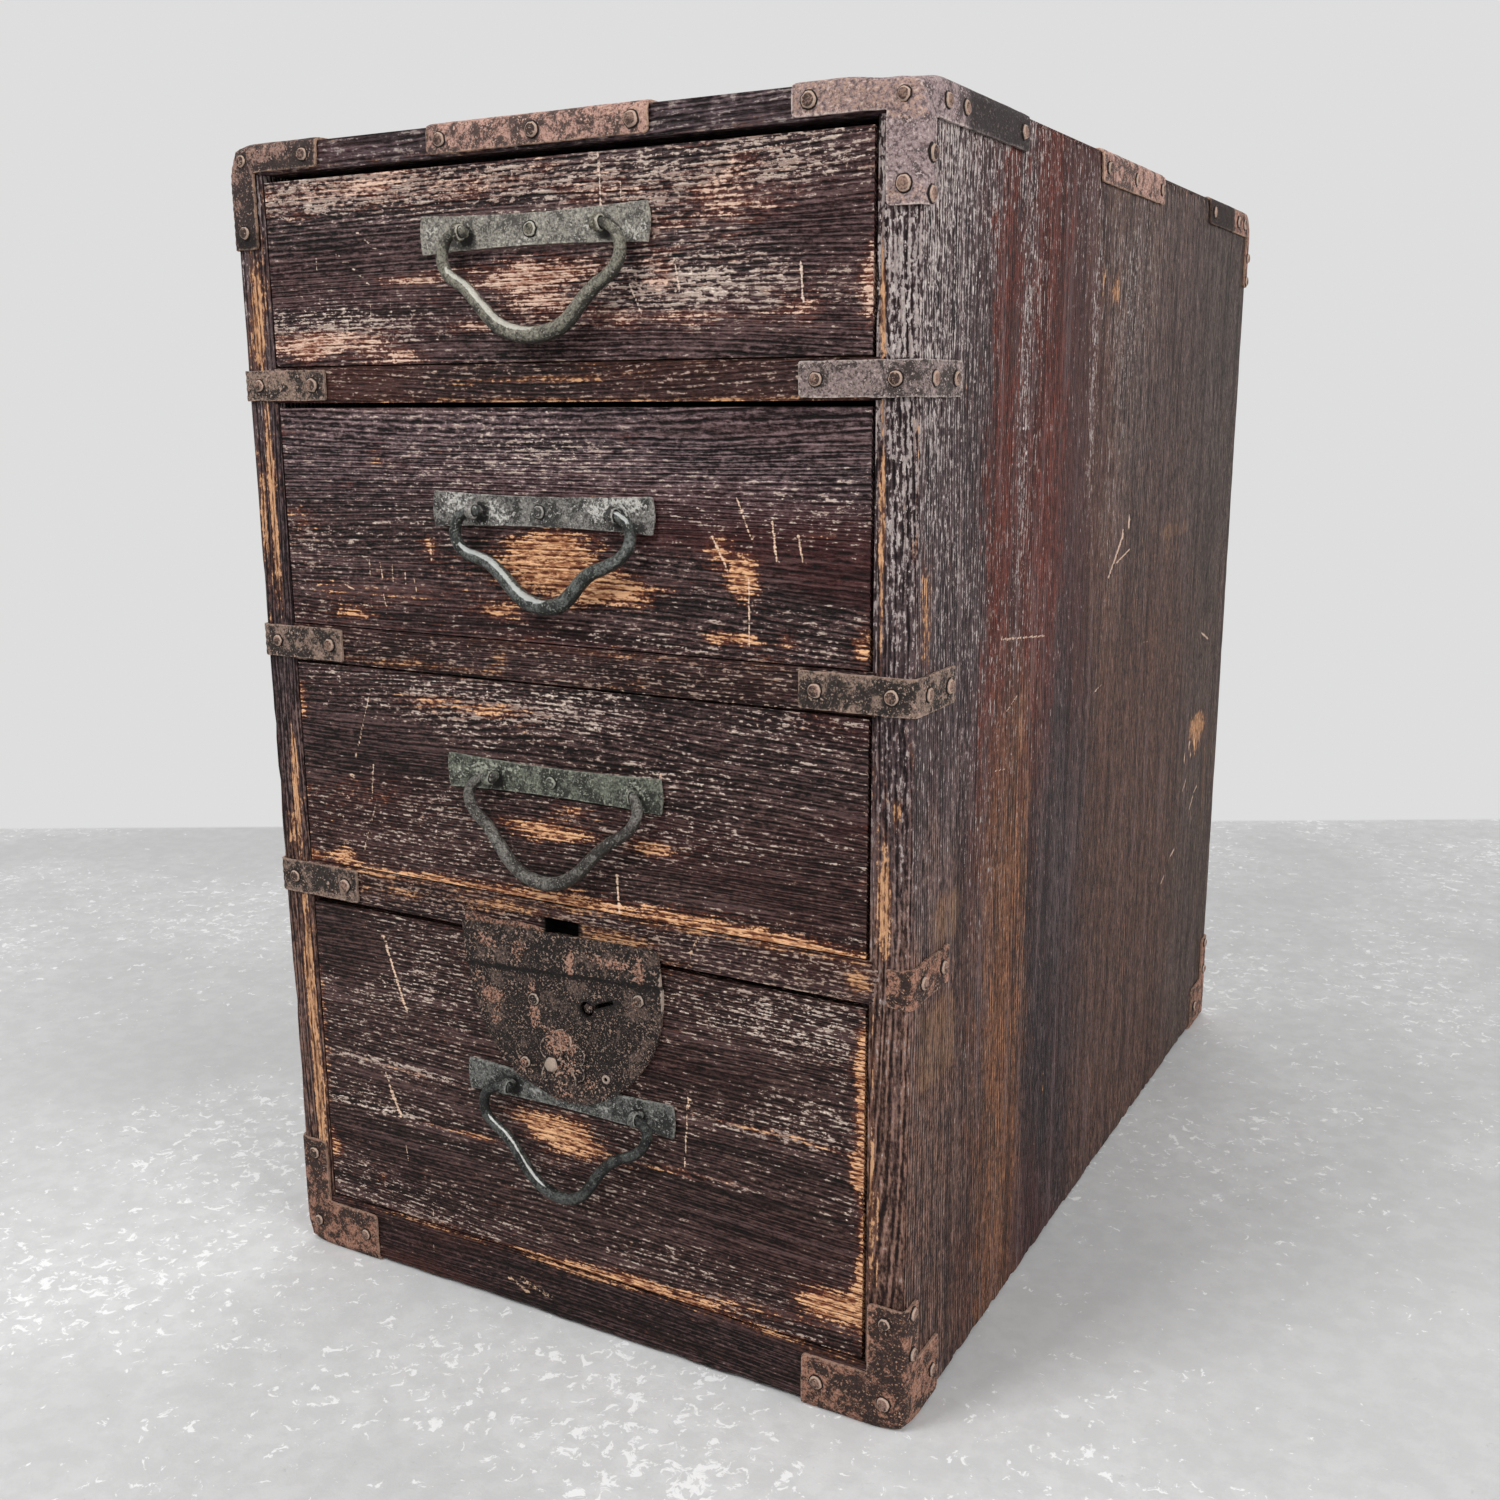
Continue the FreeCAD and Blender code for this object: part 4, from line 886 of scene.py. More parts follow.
# scratches: x and z of both ends, width, strength
DRAWER_SCRATCHES = {
    1: [(29, 503, 30, 476, 0.6, 0.75), (39, 493, 39, 484, 0.6, 0.6), (114, 497, 113, 483, 0.7, 0.5),
        (115, 460, 116, 446, 0.6, 0.9), (-93, 481, -80, 471, 0.45, 0.7), (-105, 473, -88, 460, 0.45, 0.75),
        (-117, 472, -116, 448, 0.4, 0.5), (62, 464, 64, 452, 0.6, 0.7), (42, 455, 47, 444, 0.5, 0.7),
        (-88, 452, -88, 436, 0.5, 0.5), (-77, 452, -76, 436, 0.5, 0.5)],
    2: [(88, 376, 94, 361, 0.5, 0.7), (77, 361, 84, 348, 0.7, 0.7), (93, 346, 93, 320, 0.5, 0.7),
        (103, 368, 105, 353, 0.7, 0.75), (114, 363, 116, 353, 0.7, 0.75), (-62, 356, -62, 346, 0.6, 0.6),
        (-97, 345, -97, 338, 0.5, 0.6), (-91, 344, -90, 337, 0.5, 0.6), (-84, 343, -84, 336, 0.6, 0.6),
        (-77, 341, -77, 335, 0.5, 0.6), (-72, 337, -71, 331, 0.5, 0.6), (-112, 333, -107, 331, 0.5, 0.6),
        (-104, 325, -97, 324, 0.6, 0.6), (-90, 330, -89, 325, 0.5, 0.6)],
    3: [(-101, 287, -124, 220, 0.45, 0.6), (-102, 252, -104, 236, 0.6, 0.6),
        (-101, 236, -111, 210, 0.5, 0.6), (29, 219, 30, 200, 0.7, 0.85), (51, 270, 51, 262, 0.4, 0.5),
        (93, 295, 97, 288, 0.5, 0.5)],
    4: [(-102, 170, -99, 160, 1.3, 0.6), (-99, 160, -96, 151, 0.9, 0.7), (-96, 151, -91, 136, 1.2, 0.62),
        (-106, 102, -103, 92, 0.9, 0.6), (-103, 92, -98, 81, 1.4, 0.68), (62, 126, 60, 94, 0.5, 0.7),
        (-81, 38, -82, 28, 0.5, 0.6), (-96, 66, -95, 58, 0.4, 0.5)],
}


def placed_rough(blobs, seed):
    """How rough the lacquer is: placed areas and broad noise."""
    def rough(p):
        near = blob_wear(p[:, X], p[:, Z], blobs)
        return np.clip(0.72 + near + 0.45 * rough_noise(p, (60, 30, 22), seed + 20), 0.05, 1.3)
    return rough


def drawer_front(n):
    """Front board, let in for the sides and the bottom, and on the fourth for the lock and its bolt."""
    low, high = cad(f"drawer_{n}_front")
    behind = high[Y] - 10
    notches = [((low[X], behind, low[Z]), (low[X] + 8, high[Y], high[Z])),
               ((high[X] - 8, behind, low[Z]), (high[X], high[Y], high[Z])),
               ((low[X], high[Y] - 8, low[Z]), (high[X], high[Y], low[Z] + 5.6))]
    if n == LOCKED:
        way = (BOLT_X - BOLT_HALF, BOLT_X + BOLT_HALF)
        notches += [((-13.6, low[Y], ROOF_4 - 56.2), (30.2, low[Y] + 11.2, ROOF_4 - 13.8)),
                    ((way[0], low[Y], ROOF_4 - 14.0), (way[1], low[Y] + 6.8, high[Z]))]
    board(f"front_board_{n}", low, high, X, Z, 100 * n, f"drawer_{n}", "drawer_wood", FRONT_WOOD,
          (f"drawer_{n}_front",), notches, (4.0, 0.55, 3.0), 1.5, 0.30, 2.15, DRAWER_WEAR[n],
          DRAWER_SCRATCHES[n], 0.22, carcass=False, rough=placed_rough(DRAWER_ROUGH[n], 100 * n))


for n in DRAWERS:
    drawer_front(n)

# --- Case ------------------------------------------------------------------------------------
STILE_WEAR = {
    "left": [(-153, 448, 4.5, 24, 0.85), (-152, 362, 2.4, 56, 0.8), (-158, 365, 1.8, 45, 0.55),
             (-150.5, 245, 1.9, 26, 0.9), (-155, 212, 4, 12, 0.6), (-150, 110, 2.6, 95, 1.2),
             (-154, 280, 5, 20, -0.3)],
    "right": [(147.3, 440, 1.2, 30, 0.6), (148, 360, 1.4, 50, 0.75), (151, 225, 3.4, 28, 0.8),
              (147.3, 120, 1.3, 60, 0.75), (150, 90, 0.8, 50, 0.5), (156, 262, 2, 6, 0.6),
              (154, 130, 4, 50, -0.5)],
}
SIDE_ROUGH = [(-47, 415, 7, 70, 0.65), (-100, 440, 16, 80, -0.3), (-160, 450, 9, 50, -0.5),
              (-140, 400, 6, 90, 0.4), (20, 450, 50, 60, 0.5), (-10, 350, 20, 50, 0.4),
              (-214, 185, 18, 40, -0.6), (105, 440, 5, 60, 0.4)]
SIDE_FADED = [(-214, 212, 15, 11, 0.9), (-221, 161, 20, 18, 1.0), (118, 339, 32, 4, 0.6),
              (103, 332, 4, 14, 0.6), (-140, 90, 12, 60, 0.35), (225, 140, 8, 60, 0.3)]
SIDE_WEAR = [(-16, 462, 9, 4, 0.95), (-36, 466, 2, 9, 0.5), (200, 212, 20, 8, 0.9),
             (196, 200, 26, 10, 0.35), (-240, 340, 6, 22, 0.5), (-140, 120, 10, 90, 0.1),
             (225, 150, 8, 60, 0.12)]
SIDE_SCRATCHES = [(-8, 325, 2, 333, 0.9, 1.1), (2, 333, 12, 342, 1.1, 1.2), (12, 342, 33, 356, 0.9, 1.2),
                  (5, 331, 28, 336, 0.6, 0.9), (-160, 315, -104, 309, 0.5, 0.8),
                  (-150, 283, -136, 288, 0.5, 0.7), (198, 270, 216, 264, 0.9, 0.8),
                  (-25, 270, -12, 272, 0.8, 0.6), (166, 192, 184, 204, 0.9, 1.0),
                  (180, 190, 198, 206, 0.7, 0.9), (172, 176, 180, 182, 0.8, 0.9),
                  (193, 160, 200, 166, 1.0, 0.9), (201, 168, 210, 171, 0.8, 0.8),
                  (150, 140, 158, 142, 1.0, 0.8), (130, 128, 137, 131, 1.0, 0.8),
                  (44, 310, 62, 298, 0.4, 0.6), (-165, 260, -150, 258, 0.4, 0.7),
                  (55, 284, 72, 282, 0.4, 0.5)]
TOP_LOW, TOP_HIGH = cad("top_panel")
# worn patches and scratches of the rails, as on the drawers
RAIL_WEAR = {"rail_1": [(-20, 420, 50, 1.5, 0.3), (20, 412, 110, 2, 0.35), (5, 421, 30, 1.5, 0.4)],
             "rail_2": [(-60, 300, 80, 2, 0.25), (-28, 306, 6, 4, 0.5), (40, 312, 60, 1.5, 0.35)],
             "base_rail": [(-25, 13, 12, 4, 0.2), (0, 27.5, 130, 1.5, 0.35)],
             "rail_3": [(25, 190, 26, 5, 0.6), (-30, 196, 22, 3, 0.6), (60, 200, 70, 1.5, 0.4),
                        (140, 192, 6, 7, 0.6), (-95, 192, 40, 5, 0.35), (-100, 200, 50, 1.5, 0.4)]}
RAIL_SCRATCHES = {"rail_1": [(-128, 424, -124, 420, 0.5, 0.5)], "rail_2": [(-45, 311, -38, 300, 0.5, 0.5)],
                  "base_rail": [(-37, 14, -27, 9, 1.6, 0.55), (-30, 15, -13, 10, 2.0, 0.5),
                                (-82, 22, -82, 14, 0.5, 0.4)],
                  "rail_3": [(68, 198, 64, 189, 0.6, 0.7)]}
RAIL_ROUGH = {"rail_1": 0.75, "rail_2": 0.85, "base_rail": 0.3, "rail_3": 1.0}
STRIKE_LOW, STRIKE_HIGH = cad("strike_plate")
UNDER = cad("rail_3")[0][Z]     # underside of the mortised rail
SLOT_HALF, SLOT_DEEP, SLOT_H = 8.7, 9, 11


def side_board(sx, name):
    """Side, grooved for the top and rabbeted for the back boards."""
    low, high = cad(f"side_{name}")
    inner = low[X] if sx > 0 else high[X]
    groove = sorted((inner, inner + sx * 5))
    rabbet = sorted((inner, sx * (HALF - 8)))
    notches = [((groove[0], low[Y], TOP_LOW[Z]), (groove[1], TOP_HIGH[Y], high[Z])),
               ((rabbet[0], TOP_HIGH[Y], low[Z]), (rabbet[1], high[Y], high[Z]))]

    def side_rough(p):
        """Rough and raised at the front and the top, smoother towards the back and the foot."""
        fade = 0.85 - (p[:, Y] + 250) / 330 + (p[:, Z] - 300) / 420 + blob_wear(p[:, Y], p[:, Z], SIDE_ROUGH)
        fade = fade + (-0.6 if sx < 0 else 0.08) * (p[:, Y] < ON_FRONT)
        return np.clip(fade + 0.3 * noise(p, (60, 60, 140), 78), 0.12, 1.3)

    def stile_wear(p):
        """Front edge, rubbed bare in places."""
        return blob_wear(p[:, X], p[:, Z], STILE_WEAR[name]) * (p[:, Y] < ON_FRONT)

    seen = sx > 0
    board(f"side_board_{name}", low, high, Z, Y, 520 + sx, "carcass", "case_wood", SIDE_WOOD,
          (f"side_{name}",), notches, (7.0, 1.2, 1.2), 1.8, 0.4, 2.3,
          SIDE_WEAR if seen else [], SIDE_SCRATCHES if seen else [], 0.22,
          ((Z, True, 2.4, (6, 3.2, 9)), (Z, False, 1.2, (6, 5, 9))), rough=side_rough, extra=stile_wear,
          faded=SIDE_FADED if seen else [])


def top_board():
    board("top_board", TOP_LOW, TOP_HIGH, X, Y, 640, "carcass", "case_wood", TOP_WOOD, ("top_panel",), (),
          (6.0, 1.2, 1.2), 1.2, 0.4, 2.3, [(40, 0, 90, 120, 0.12)], [], 0.3)


def rail_board(rail, seed, notches=(), rounding=1.5, eroded=(), soot=None):
    low, high = cad(rail)
    board(f"{rail}_board", low, high, X, Z, seed, "carcass", "case_wood", RAIL_WOOD, (rail,), notches,
          (3.0, 0.6, 2.0), rounding, 0.3, 2.1, RAIL_WEAR[rail], RAIL_SCRATCHES[rail], 0.2, eroded,
          rough=lambda p: np.full(len(p), RAIL_ROUGH[rail]), soot=soot)


def mortised_rail():
    """Rail over the locked drawer, let in for the strike and mortised for the bolt."""
    low, _ = cad("rail_3")
    slot = (BOLT_X - SLOT_HALF, BOLT_X + SLOT_HALF)
    notches = [((STRIKE_LOW[X], low[Y], UNDER), (STRIKE_HIGH[X], low[Y] + IRON, UNDER + SLOT_H)),
               ((STRIKE_LOW[X], low[Y], UNDER), (STRIKE_HIGH[X], low[Y] + 16, UNDER + IRON)),
               ((slot[0], low[Y], UNDER), (slot[1], low[Y] + SLOT_DEEP, UNDER + SLOT_H))]

    def mortise_soot(p):
        """Painted shade: black inside the bolt's mortise."""
        inner = (np.abs(p[:, X] - BOLT_X) < SLOT_HALF + 0.1) & (p[:, Z] < UNDER + SLOT_H + 0.1)
        return 1.0 * (inner & (p[:, Y] > low[Y] + 0.5))

    rail_board("rail_3", 735, notches, 1.4, soot=mortise_soot)


def joint_soot(p):
    """Dark joint between the two back boards."""
    return 0.9 * np.exp(-(p[:, X] / 1.2) ** 2)


def back_board(sx, name):
    low, high = cad("back_boards")
    (low if sx > 0 else high)[X] = 0
    board(f"back_board_{name}", low, high, Z, X, 800 + sx, "carcass", "inner_wood", BACK_WOOD,
          ("back_boards",), (), (8.0, 1.4, 2.0), 1.0, 0.35, 2.6, [(sx * 70, 260, 40, 120, 0.15)], [], 0.25,
          soot=joint_soot)


for sx, name in SIDES:
    side_board(sx, name)
top_board()
rail_board("rail_1", 700)
rail_board("rail_2", 710)
rail_board("base_rail", 720, eroded=((Z, False, 1.0, (9, 6, 6)),))
mortised_rail()
for sx, name in SIDES:
    back_board(sx, name)

# --- Irons of the case -----------------------------------------------------------------------
TOP_IRON = dict(face=50, band=10.5, side=102, side_band=13, post=42, post_face=13.5, post_side=8)
FOOT_IRON = dict(face=45.5, band=23, side=34, side_band=27, post=55, post_face=15.5, post_side=12)
CAP = 12.0                      # how far the irons fold over the ends
MITRE = 0.15


def corner_outline(iron):
    """Outline of a corner iron: band and post on the front, leg on the side, cap folded over both."""
    face, band, side, side_band, post, post_face, post_side = iron.values()
    r = IRON_ROUND
    return rounded([(-face, -band, r), (-post_face, -band, 0.8), (-post_face, -post, r),
                    (post_side, -post, r), (post_side, -side_band, 0.8), (side, -side_band, r),
                    (side, CAP, r), (CAP, CAP, r), (MITRE, 0, 0), (-MITRE, 0, 0), (-CAP, CAP, r),
                    (-face, CAP, r)])


def near_rim(flat, loop, reach=0.7):
    """1 on the outline of a sheet, falling off inwards; both faces of the sheet."""
    gap = np.full(len(flat), 1e9)
    for a, b in zip(loop, np.roll(loop, -1, 0)):
        t = np.clip(((flat - a) @ (b - a)) / max((b - a) @ (b - a), 1e-9), 0, 1)
        gap = np.minimum(gap, np.linalg.norm(flat - a - t[:, None] * (b - a), axis=1))
    return np.tile(np.exp(-gap / reach), 2)


def iron_sheet(name, outline, net, nodes, material, seed, ragged=0.25, black=None, bloom=None):
    """Sheet of iron on the case: its outline laid by a net, with placed scale and bloom."""
    flat, faces = flat_sheet(outline, 2.0, (), ragged, seed)
    points, all_faces = thickened(flat, faces, net, IRON)
    marks = {key: np.zeros(len(points)) if mark is None else mark(points)
             for key, mark in (("black", black), ("bloom", bloom))}
    # the rim mark paints the sheet's outline paler: rubbed metal and painted highlight
    bevelled(piece(name, points, all_faces, "carcass", "rusted_iron", material, nodes,
                   rim=near_rim(flat, outline) * 0.8, **marks))


def scaled_leg(points):
    """Black scale on the side legs of the top irons, away from the corner, and on the left front iron."""
    leg = smooth_step(40, 48, CASE_HIGH[Y] - np.abs(points[:, Y])) * (np.abs(points[:, X]) > HALF - 1.0)
    left = blob_wear(points[:, X], points[:, Z], [(-155, 480, 12, 7, 1.7), (-128, 508, 14, 4, 1.1),
                                                  (-150, 497, 5, 10, 1.2), (-117, 514, 5, 9, 0.9)])
    return np.maximum(1.5 * leg, left * (points[:, Y] < ON_FRONT))


def rusty_band(points):
    """Brown rust on the front's upper band and at the foot of its post."""
    band = smooth_step(502, 507, points[:, Z]) + 0.7 * smooth_step(488, 482, points[:, Z])
    return 0.85 * band * (points[:, Y] < ON_FRONT)


def corner_iron(sx, sy, sz, x_name):
    iron, z_name = (TOP_IRON, "top") if sz > 0 else (FOOT_IRON, "bottom")
    y_name = "front" if sy < 0 else "back"
    node = f"iron_{z_name}_front_{x_name}" if sy < 0 else f"irons_{z_name}_back"
    metal = RUST_FOOT if sz < 0 else RUST if sy > 0 else RUST_PURPLE if sx > 0 else RUST_LEFT
    iron_sheet(f"corner_iron_{z_name}_{y_name}_{x_name}", corner_outline(iron), case_net(sx, sy, sz),
               (node,), metal, 11 + sx + 3 * sy + 9 * sz, black=scaled_leg if sz > 0 else None,
               bloom=rusty_band if (sx, sz) == (1, 1) else None)


def rail_strap(sx, k, x_name):
    """Strap from a rail round to the side; the lowest on the right is torn off in front."""
    low, high = cad(f"rail_{k}")
    torn = (sx, k) == (1, 3)
    lower, upper = low[Z] + 1.0 - TOP, high[Z] - 1.0 - TOP
    face = 9.0 if torn else 47.0
    outline = rounded([(-face, lower, 1.2), (37, lower, 2.2), (37, upper, 2.2), (-face, upper, 1.2)])
    metal = RUST_FOOT if torn else STRAP_GREY if (sx, k) == (1, 1) else RUST_DARK
    iron_sheet(f"rail_strap_{k}_{x_name}", outline, case_net(sx, -1, 1), ("rail_straps",), metal,
               57 + 3 * k + sx, ragged=1.1 if torn else 0.25)


for sx, x_name in SIDES:
    for sz in (1, -1):
        for sy in (-1, 1):
            corner_iron(sx, sy, sz, x_name)
    for k in (1, 2, 3):
        rail_strap(sx, k, x_name)


def strap_net(on_side):
    """Middle straps: s along the edge of the top, t > 0 folded over it."""
    def lay(flat, height):
        s, t = flat[:, 0], flat[:, 1]
        fold, drop = np.clip(t, 0, None), np.clip(-t, 0, None)
        if on_side:
            middle = (FRONT + BACK) / 2
            p0 = np.column_stack([on_side * (HALF - fold), middle + s, TOP - drop])
        else:
            p0 = np.column_stack([s, FRONT + fold, TOP - drop])
        return wrap(p0, CASE_LOW, CASE_HIGH, CASE_ROUND, hammered(p0, 31 + on_side) + height)
    return lay


for on_side, drop, name in ((0, 10.5, "front"), (-1, 13.0, "left"), (1, 13.0, "right")):
    r = IRON_ROUND
    outline = rounded([(-52.5, -drop, r), (52.5, -drop, r), (52.5, CAP, r), (-52.5, CAP, r)])
    iron_sheet(f"top_strap_{name}", outline, strap_net(on_side),
               ("straps_top_sides",) if on_side else ("strap_top_front",), RUST_STRAP, 90 + on_side)


def solids_of(node):
    """Boxes of a node's separate solids, from its mesh with the points that coincide joined."""
    mesh = NODES[node].data
    co = np.array([v.co for v in mesh.vertices]) / MM
    _, same = np.unique(np.round(co, 3), axis=0, return_inverse=True)
    same = same.ravel()
    root = np.arange(same.max() + 1)

    def find(i):
        while root[i] != i:
            root[i] = root[root[i]]
            i = root[i]
        return i
    for a, b in ((same[e.vertices[0]], same[e.vertices[1]]) for e in mesh.edges):
        root[find(a)] = find(b)
    group = np.array([find(i) for i in same])
    return [(co[group == g].min(0), co[group == g].max(0)) for g in np.unique(group)]


def nail_seats(node, shank_l=9.0, head_h=1.0):
    """Seats of the node's nails: under the head, at the middle of the shank."""
    seats = []
    for low, high in solids_of(node):
        size = high - low
        axis = int(np.argmax(size))
        if abs(size[axis] - shank_l - head_h) > 0.3:
            continue
        middle = (low + high) / 2
        out = 1 if middle[axis] > 0 else -1
        seat = middle.copy()
        seat[axis] = (high[axis] - head_h) if out > 0 else (low[axis] + head_h)
        outward = np.zeros(3)
        outward[axis] = out
        seats.append((seat, outward))
    return seats


seats = [(dents(seat[None])[0] + out * 0.3, out) for seat, out in nail_seats("iron_nails")]
# the nails carry a painted highlight ring and painted shade at their feet
points, faces, rim, black = nail_heads(seats, 2.9, 1.5, 5)
piece("case_nails", points, faces, "carcass", "rusted_iron", NAIL_IRON, ("iron_nails",), rim=rim, black=black)


def strike_front(flat, height):
    """Lays the strike's leaf on the front of the rail."""
    return np.column_stack([flat[:, 0], np.full(len(flat), STRIKE_LOW[Y] + IRON - 0.1) - height, flat[:, 1]])


def strike():
    """Strike in the mortised rail: the torn leaf in front and the bed beneath the rail."""
    leaf = rounded([(STRIKE_LOW[X], UNDER, 0.6), (-9.5, UNDER, 0), (-11.5, UNDER + 2.2, 0),
                    (-9.5, UNDER + 3.6, 0), (-13, UNDER + 5.5, 0), (-24, UNDER + 6.5, 0),
                    (-36, UNDER + 5.2, 0), (STRIKE_LOW[X], UNDER + 6.8, 1)])
    flat, faces = flat_sheet(leaf, 1.6, (), 0.2, 8)
    points, faces = thickened(flat, faces, strike_front, IRON)
    piece("strike_leaf", points, faces, "carcass", "rusted_iron", LOCK_IRON, ("strike_plate",),
          bloom=np.full(len(points), 0.75))
    slot = ((BOLT_X - SLOT_HALF, FRONT - 1, UNDER - 1), (BOLT_X + SLOT_HALF, FRONT + SLOT_DEEP, UNDER + 2))
    points, faces = lattice(np.array([STRIKE_LOW[X], FRONT + 0.3, UNDER]),
                            np.array([STRIKE_HIGH[X], FRONT + 16, UNDER + IRON]), (4, 4, 2), [slot], 0.3)
    piece("strike_bed", points, faces, "carcass", "rusted_iron", RUST_DARK, ("strike_plate",))


strike()

# --- Handles ---------------------------------------------------------------------------------
# one value per drawer, from the top
HANDLE_MIDDLE = [-1.0, 1.0, 4.5, 5.0]
PLATE_SHIFT = [-1.6, -4.0, -6.3, -3.7]
EYE_SPACING = [67.0, 69.5, 71.0, 68.0]
HANDLE_Z = [477.5, 368.2, 255.5, 113.7]
PLATE_T, EYE_R, EYE_T, PIVOT_OUT, PIN_R = 1.4, 3.7, 3.2, 6.5, 2.0
PIVOT_Y = DRAWER_Y - PIVOT_OUT
ROD_AROUND = 20
PLATE_BLOOM = [[(-50, 1, 9, 7, 0.5), (-5, -4, 14, 4, 0.6), (22, -2, 8, 5, 0.5), (45, -3, 8, 5, 0.7)],
               [(-44, 2, 11, 7, 1.0), (-24, -1, 6, 6, 0.9), (28, 2, 9, 6, 1.0), (42, 4, 7, 5, 0.8),
                (0, 0, 7, 5, 0.4)],
               [(-38, 1, 8, 5, 0.9), (-52, 0, 5, 5, 0.6), (-20, 3, 14, 3, 0.5), (40, 2, 10, 5, 0.7)],
               [(-42, 1, 12, 5, 0.4), (-17, -1, 6, 3, 0.9), (20, -1, 6, 3, 0.9), (45, 2, 8, 4, 0.4)]]
BAIL_MIDDLE = [3.4, 3.4, 3.1, 2.7]
BAIL_SIDE = 2.3
# painted highlight along each bail: which way it faces, strength, middle, half length, how narrow
BAIL_GLEAM = [(0.35, 1.0, -25, 24, 0.76), (0.3, 1.1, 0, 40, 0.77), (-0.2, 0.6, 10, 30, 0.82),
              (0.55, 1.5, -19, 14, 0.93)]
# centre lines of the bails, x from the handle's middle and z
BAILS = [[(-40.6, 474.8), (-42.8, 470.3), (-42.8, 465.8), (-40.4, 461.5), (-35.5, 458.2), (-31, 455.4),
          (-24, 448.2), (-17, 442), (-9, 438.5), (0, 437.3), (9, 438.5), (17, 442.2), (24, 449),
          (30.5, 454.7), (36.5, 458.4), (40.4, 462.3), (42.2, 467), (41.8, 471.3), (39.3, 475.3)],
         [(-40.4, 365.4), (-42.6, 361.4), (-42.8, 357), (-40.5, 353), (-36.5, 350.3), (-31, 348.9),
          (-25.5, 346.8), (-20.5, 343.2), (-12, 335.2), (-6, 331.7), (2, 330.3), (9, 331.6), (14.5, 335.8),
          (19.5, 341), (24.5, 344.9), (32, 348), (38.5, 351.3), (42.6, 355.8), (43.9, 360.5),
          (42.7, 364.8)],
         [(-37, 254), (-40.6, 250.8), (-42.3, 246.8), (-41.3, 242.5), (-38.3, 238.5), (-34, 235.2),
          (-30.5, 231.4), (-25.8, 224.8), (-20, 218.3), (-13, 214), (-4, 212.2), (4.5, 213.6), (12.5, 218),
          (19, 224.3), (25, 230.3), (31, 235), (37, 238.6), (41.5, 243), (43.9, 248), (43.9, 252.3)],
         [(-34.6, 112.4), (-38.6, 110.4), (-41.3, 106.4), (-41.8, 101.5), (-40, 97), (-36, 93.8),
          (-31, 90.8), (-26, 86), (-20, 78), (-14, 71.8), (-7, 68.1), (0.5, 66.8), (8, 68.9), (14, 74.5),
          (19, 82), (24.5, 88.5), (31, 93.2), (38, 96.6), (42.6, 100.7), (45.2, 106), (44.6, 110.6)]]


def plate_outline(length=110.0, end_h=15.0, waist_h=12.0, bow=1.0):
    """Handle plate, waisted in the middle and bowed at its ends."""
    u = np.linspace(-1, 1, 25)
    half_h = waist_h / 2 + (end_h - waist_h) / 2 * u ** 2
    end_x = length / 2 - bow
    lower = np.column_stack([u * end_x, -half_h])
    v = np.linspace(-1, 1, 7)[1:-1]
    right = np.column_stack([end_x + bow * (1 - v ** 2), v * end_h / 2])
    return np.concatenate([lower, right, -lower, -right])


def through(stops, count):
    """Even points on a smooth curve through the stops."""
    stops = np.array(stops, float)
    padded = np.concatenate([[2 * stops[0] - stops[1]], stops, [2 * stops[-1] - stops[-2]]])
    t = np.linspace(0, 1, 12, endpoint=False)[:, None]
    raw = []
    for a, b, c, d in zip(padded, padded[1:], padded[2:], padded[3:]):
        raw.append(0.5 * (2 * b + (c - a) * t + (2 * a - 5 * b + 4 * c - d) * t ** 2
                          + (3 * b - a - 3 * c + d) * t ** 3))
    raw = np.concatenate(raw + [stops[-1:]])
    reach = np.concatenate([[0], np.cumsum(np.linalg.norm(np.diff(raw, axis=0), axis=1))])
    even = np.linspace(0, reach[-1], count)
    return np.column_stack([np.interp(even, reach, raw[:, k]) for k in range(3)])


def tube(path, radii, seed, lumps):
    """Round forged rod along a path in an XZ plane, ends closed."""
    tangent = np.gradient(path, axis=0)
    tangent /= np.linalg.norm(tangent, axis=1, keepdims=True)
    out = np.array([0.0, -1.0, 0.0])
    side = np.cross(tangent, out)
    cosine, sine = np.cos(turns(ROD_AROUND))[:, None], np.sin(turns(ROD_AROUND))[:, None]
    points = np.concatenate([centre + r * (cosine * out + sine * across)
                             for centre, r, across in zip(path, radii, side)])
    centres = np.repeat(path, ROD_AROUND, 0)
    flat_spots = rough_noise(points, (5, 5, 5), seed, 2)
    points = centres + (points - centres) * (1 + lumps * flat_spots)[:, None]
    n = len(points)
    faces = ring_faces(len(path), ROD_AROUND)
    faces += cap_faces(0, ROD_AROUND, n) + cap_faces(n - ROD_AROUND, ROD_AROUND, n + 1)
    return np.concatenate([points, path[:1], path[-1:]]), faces


def block(low, high, step, rounding):
    """Small lattice solid without marks."""
    points, faces = lattice(low, high, step, (), rounding)
    return points, faces.tolist()


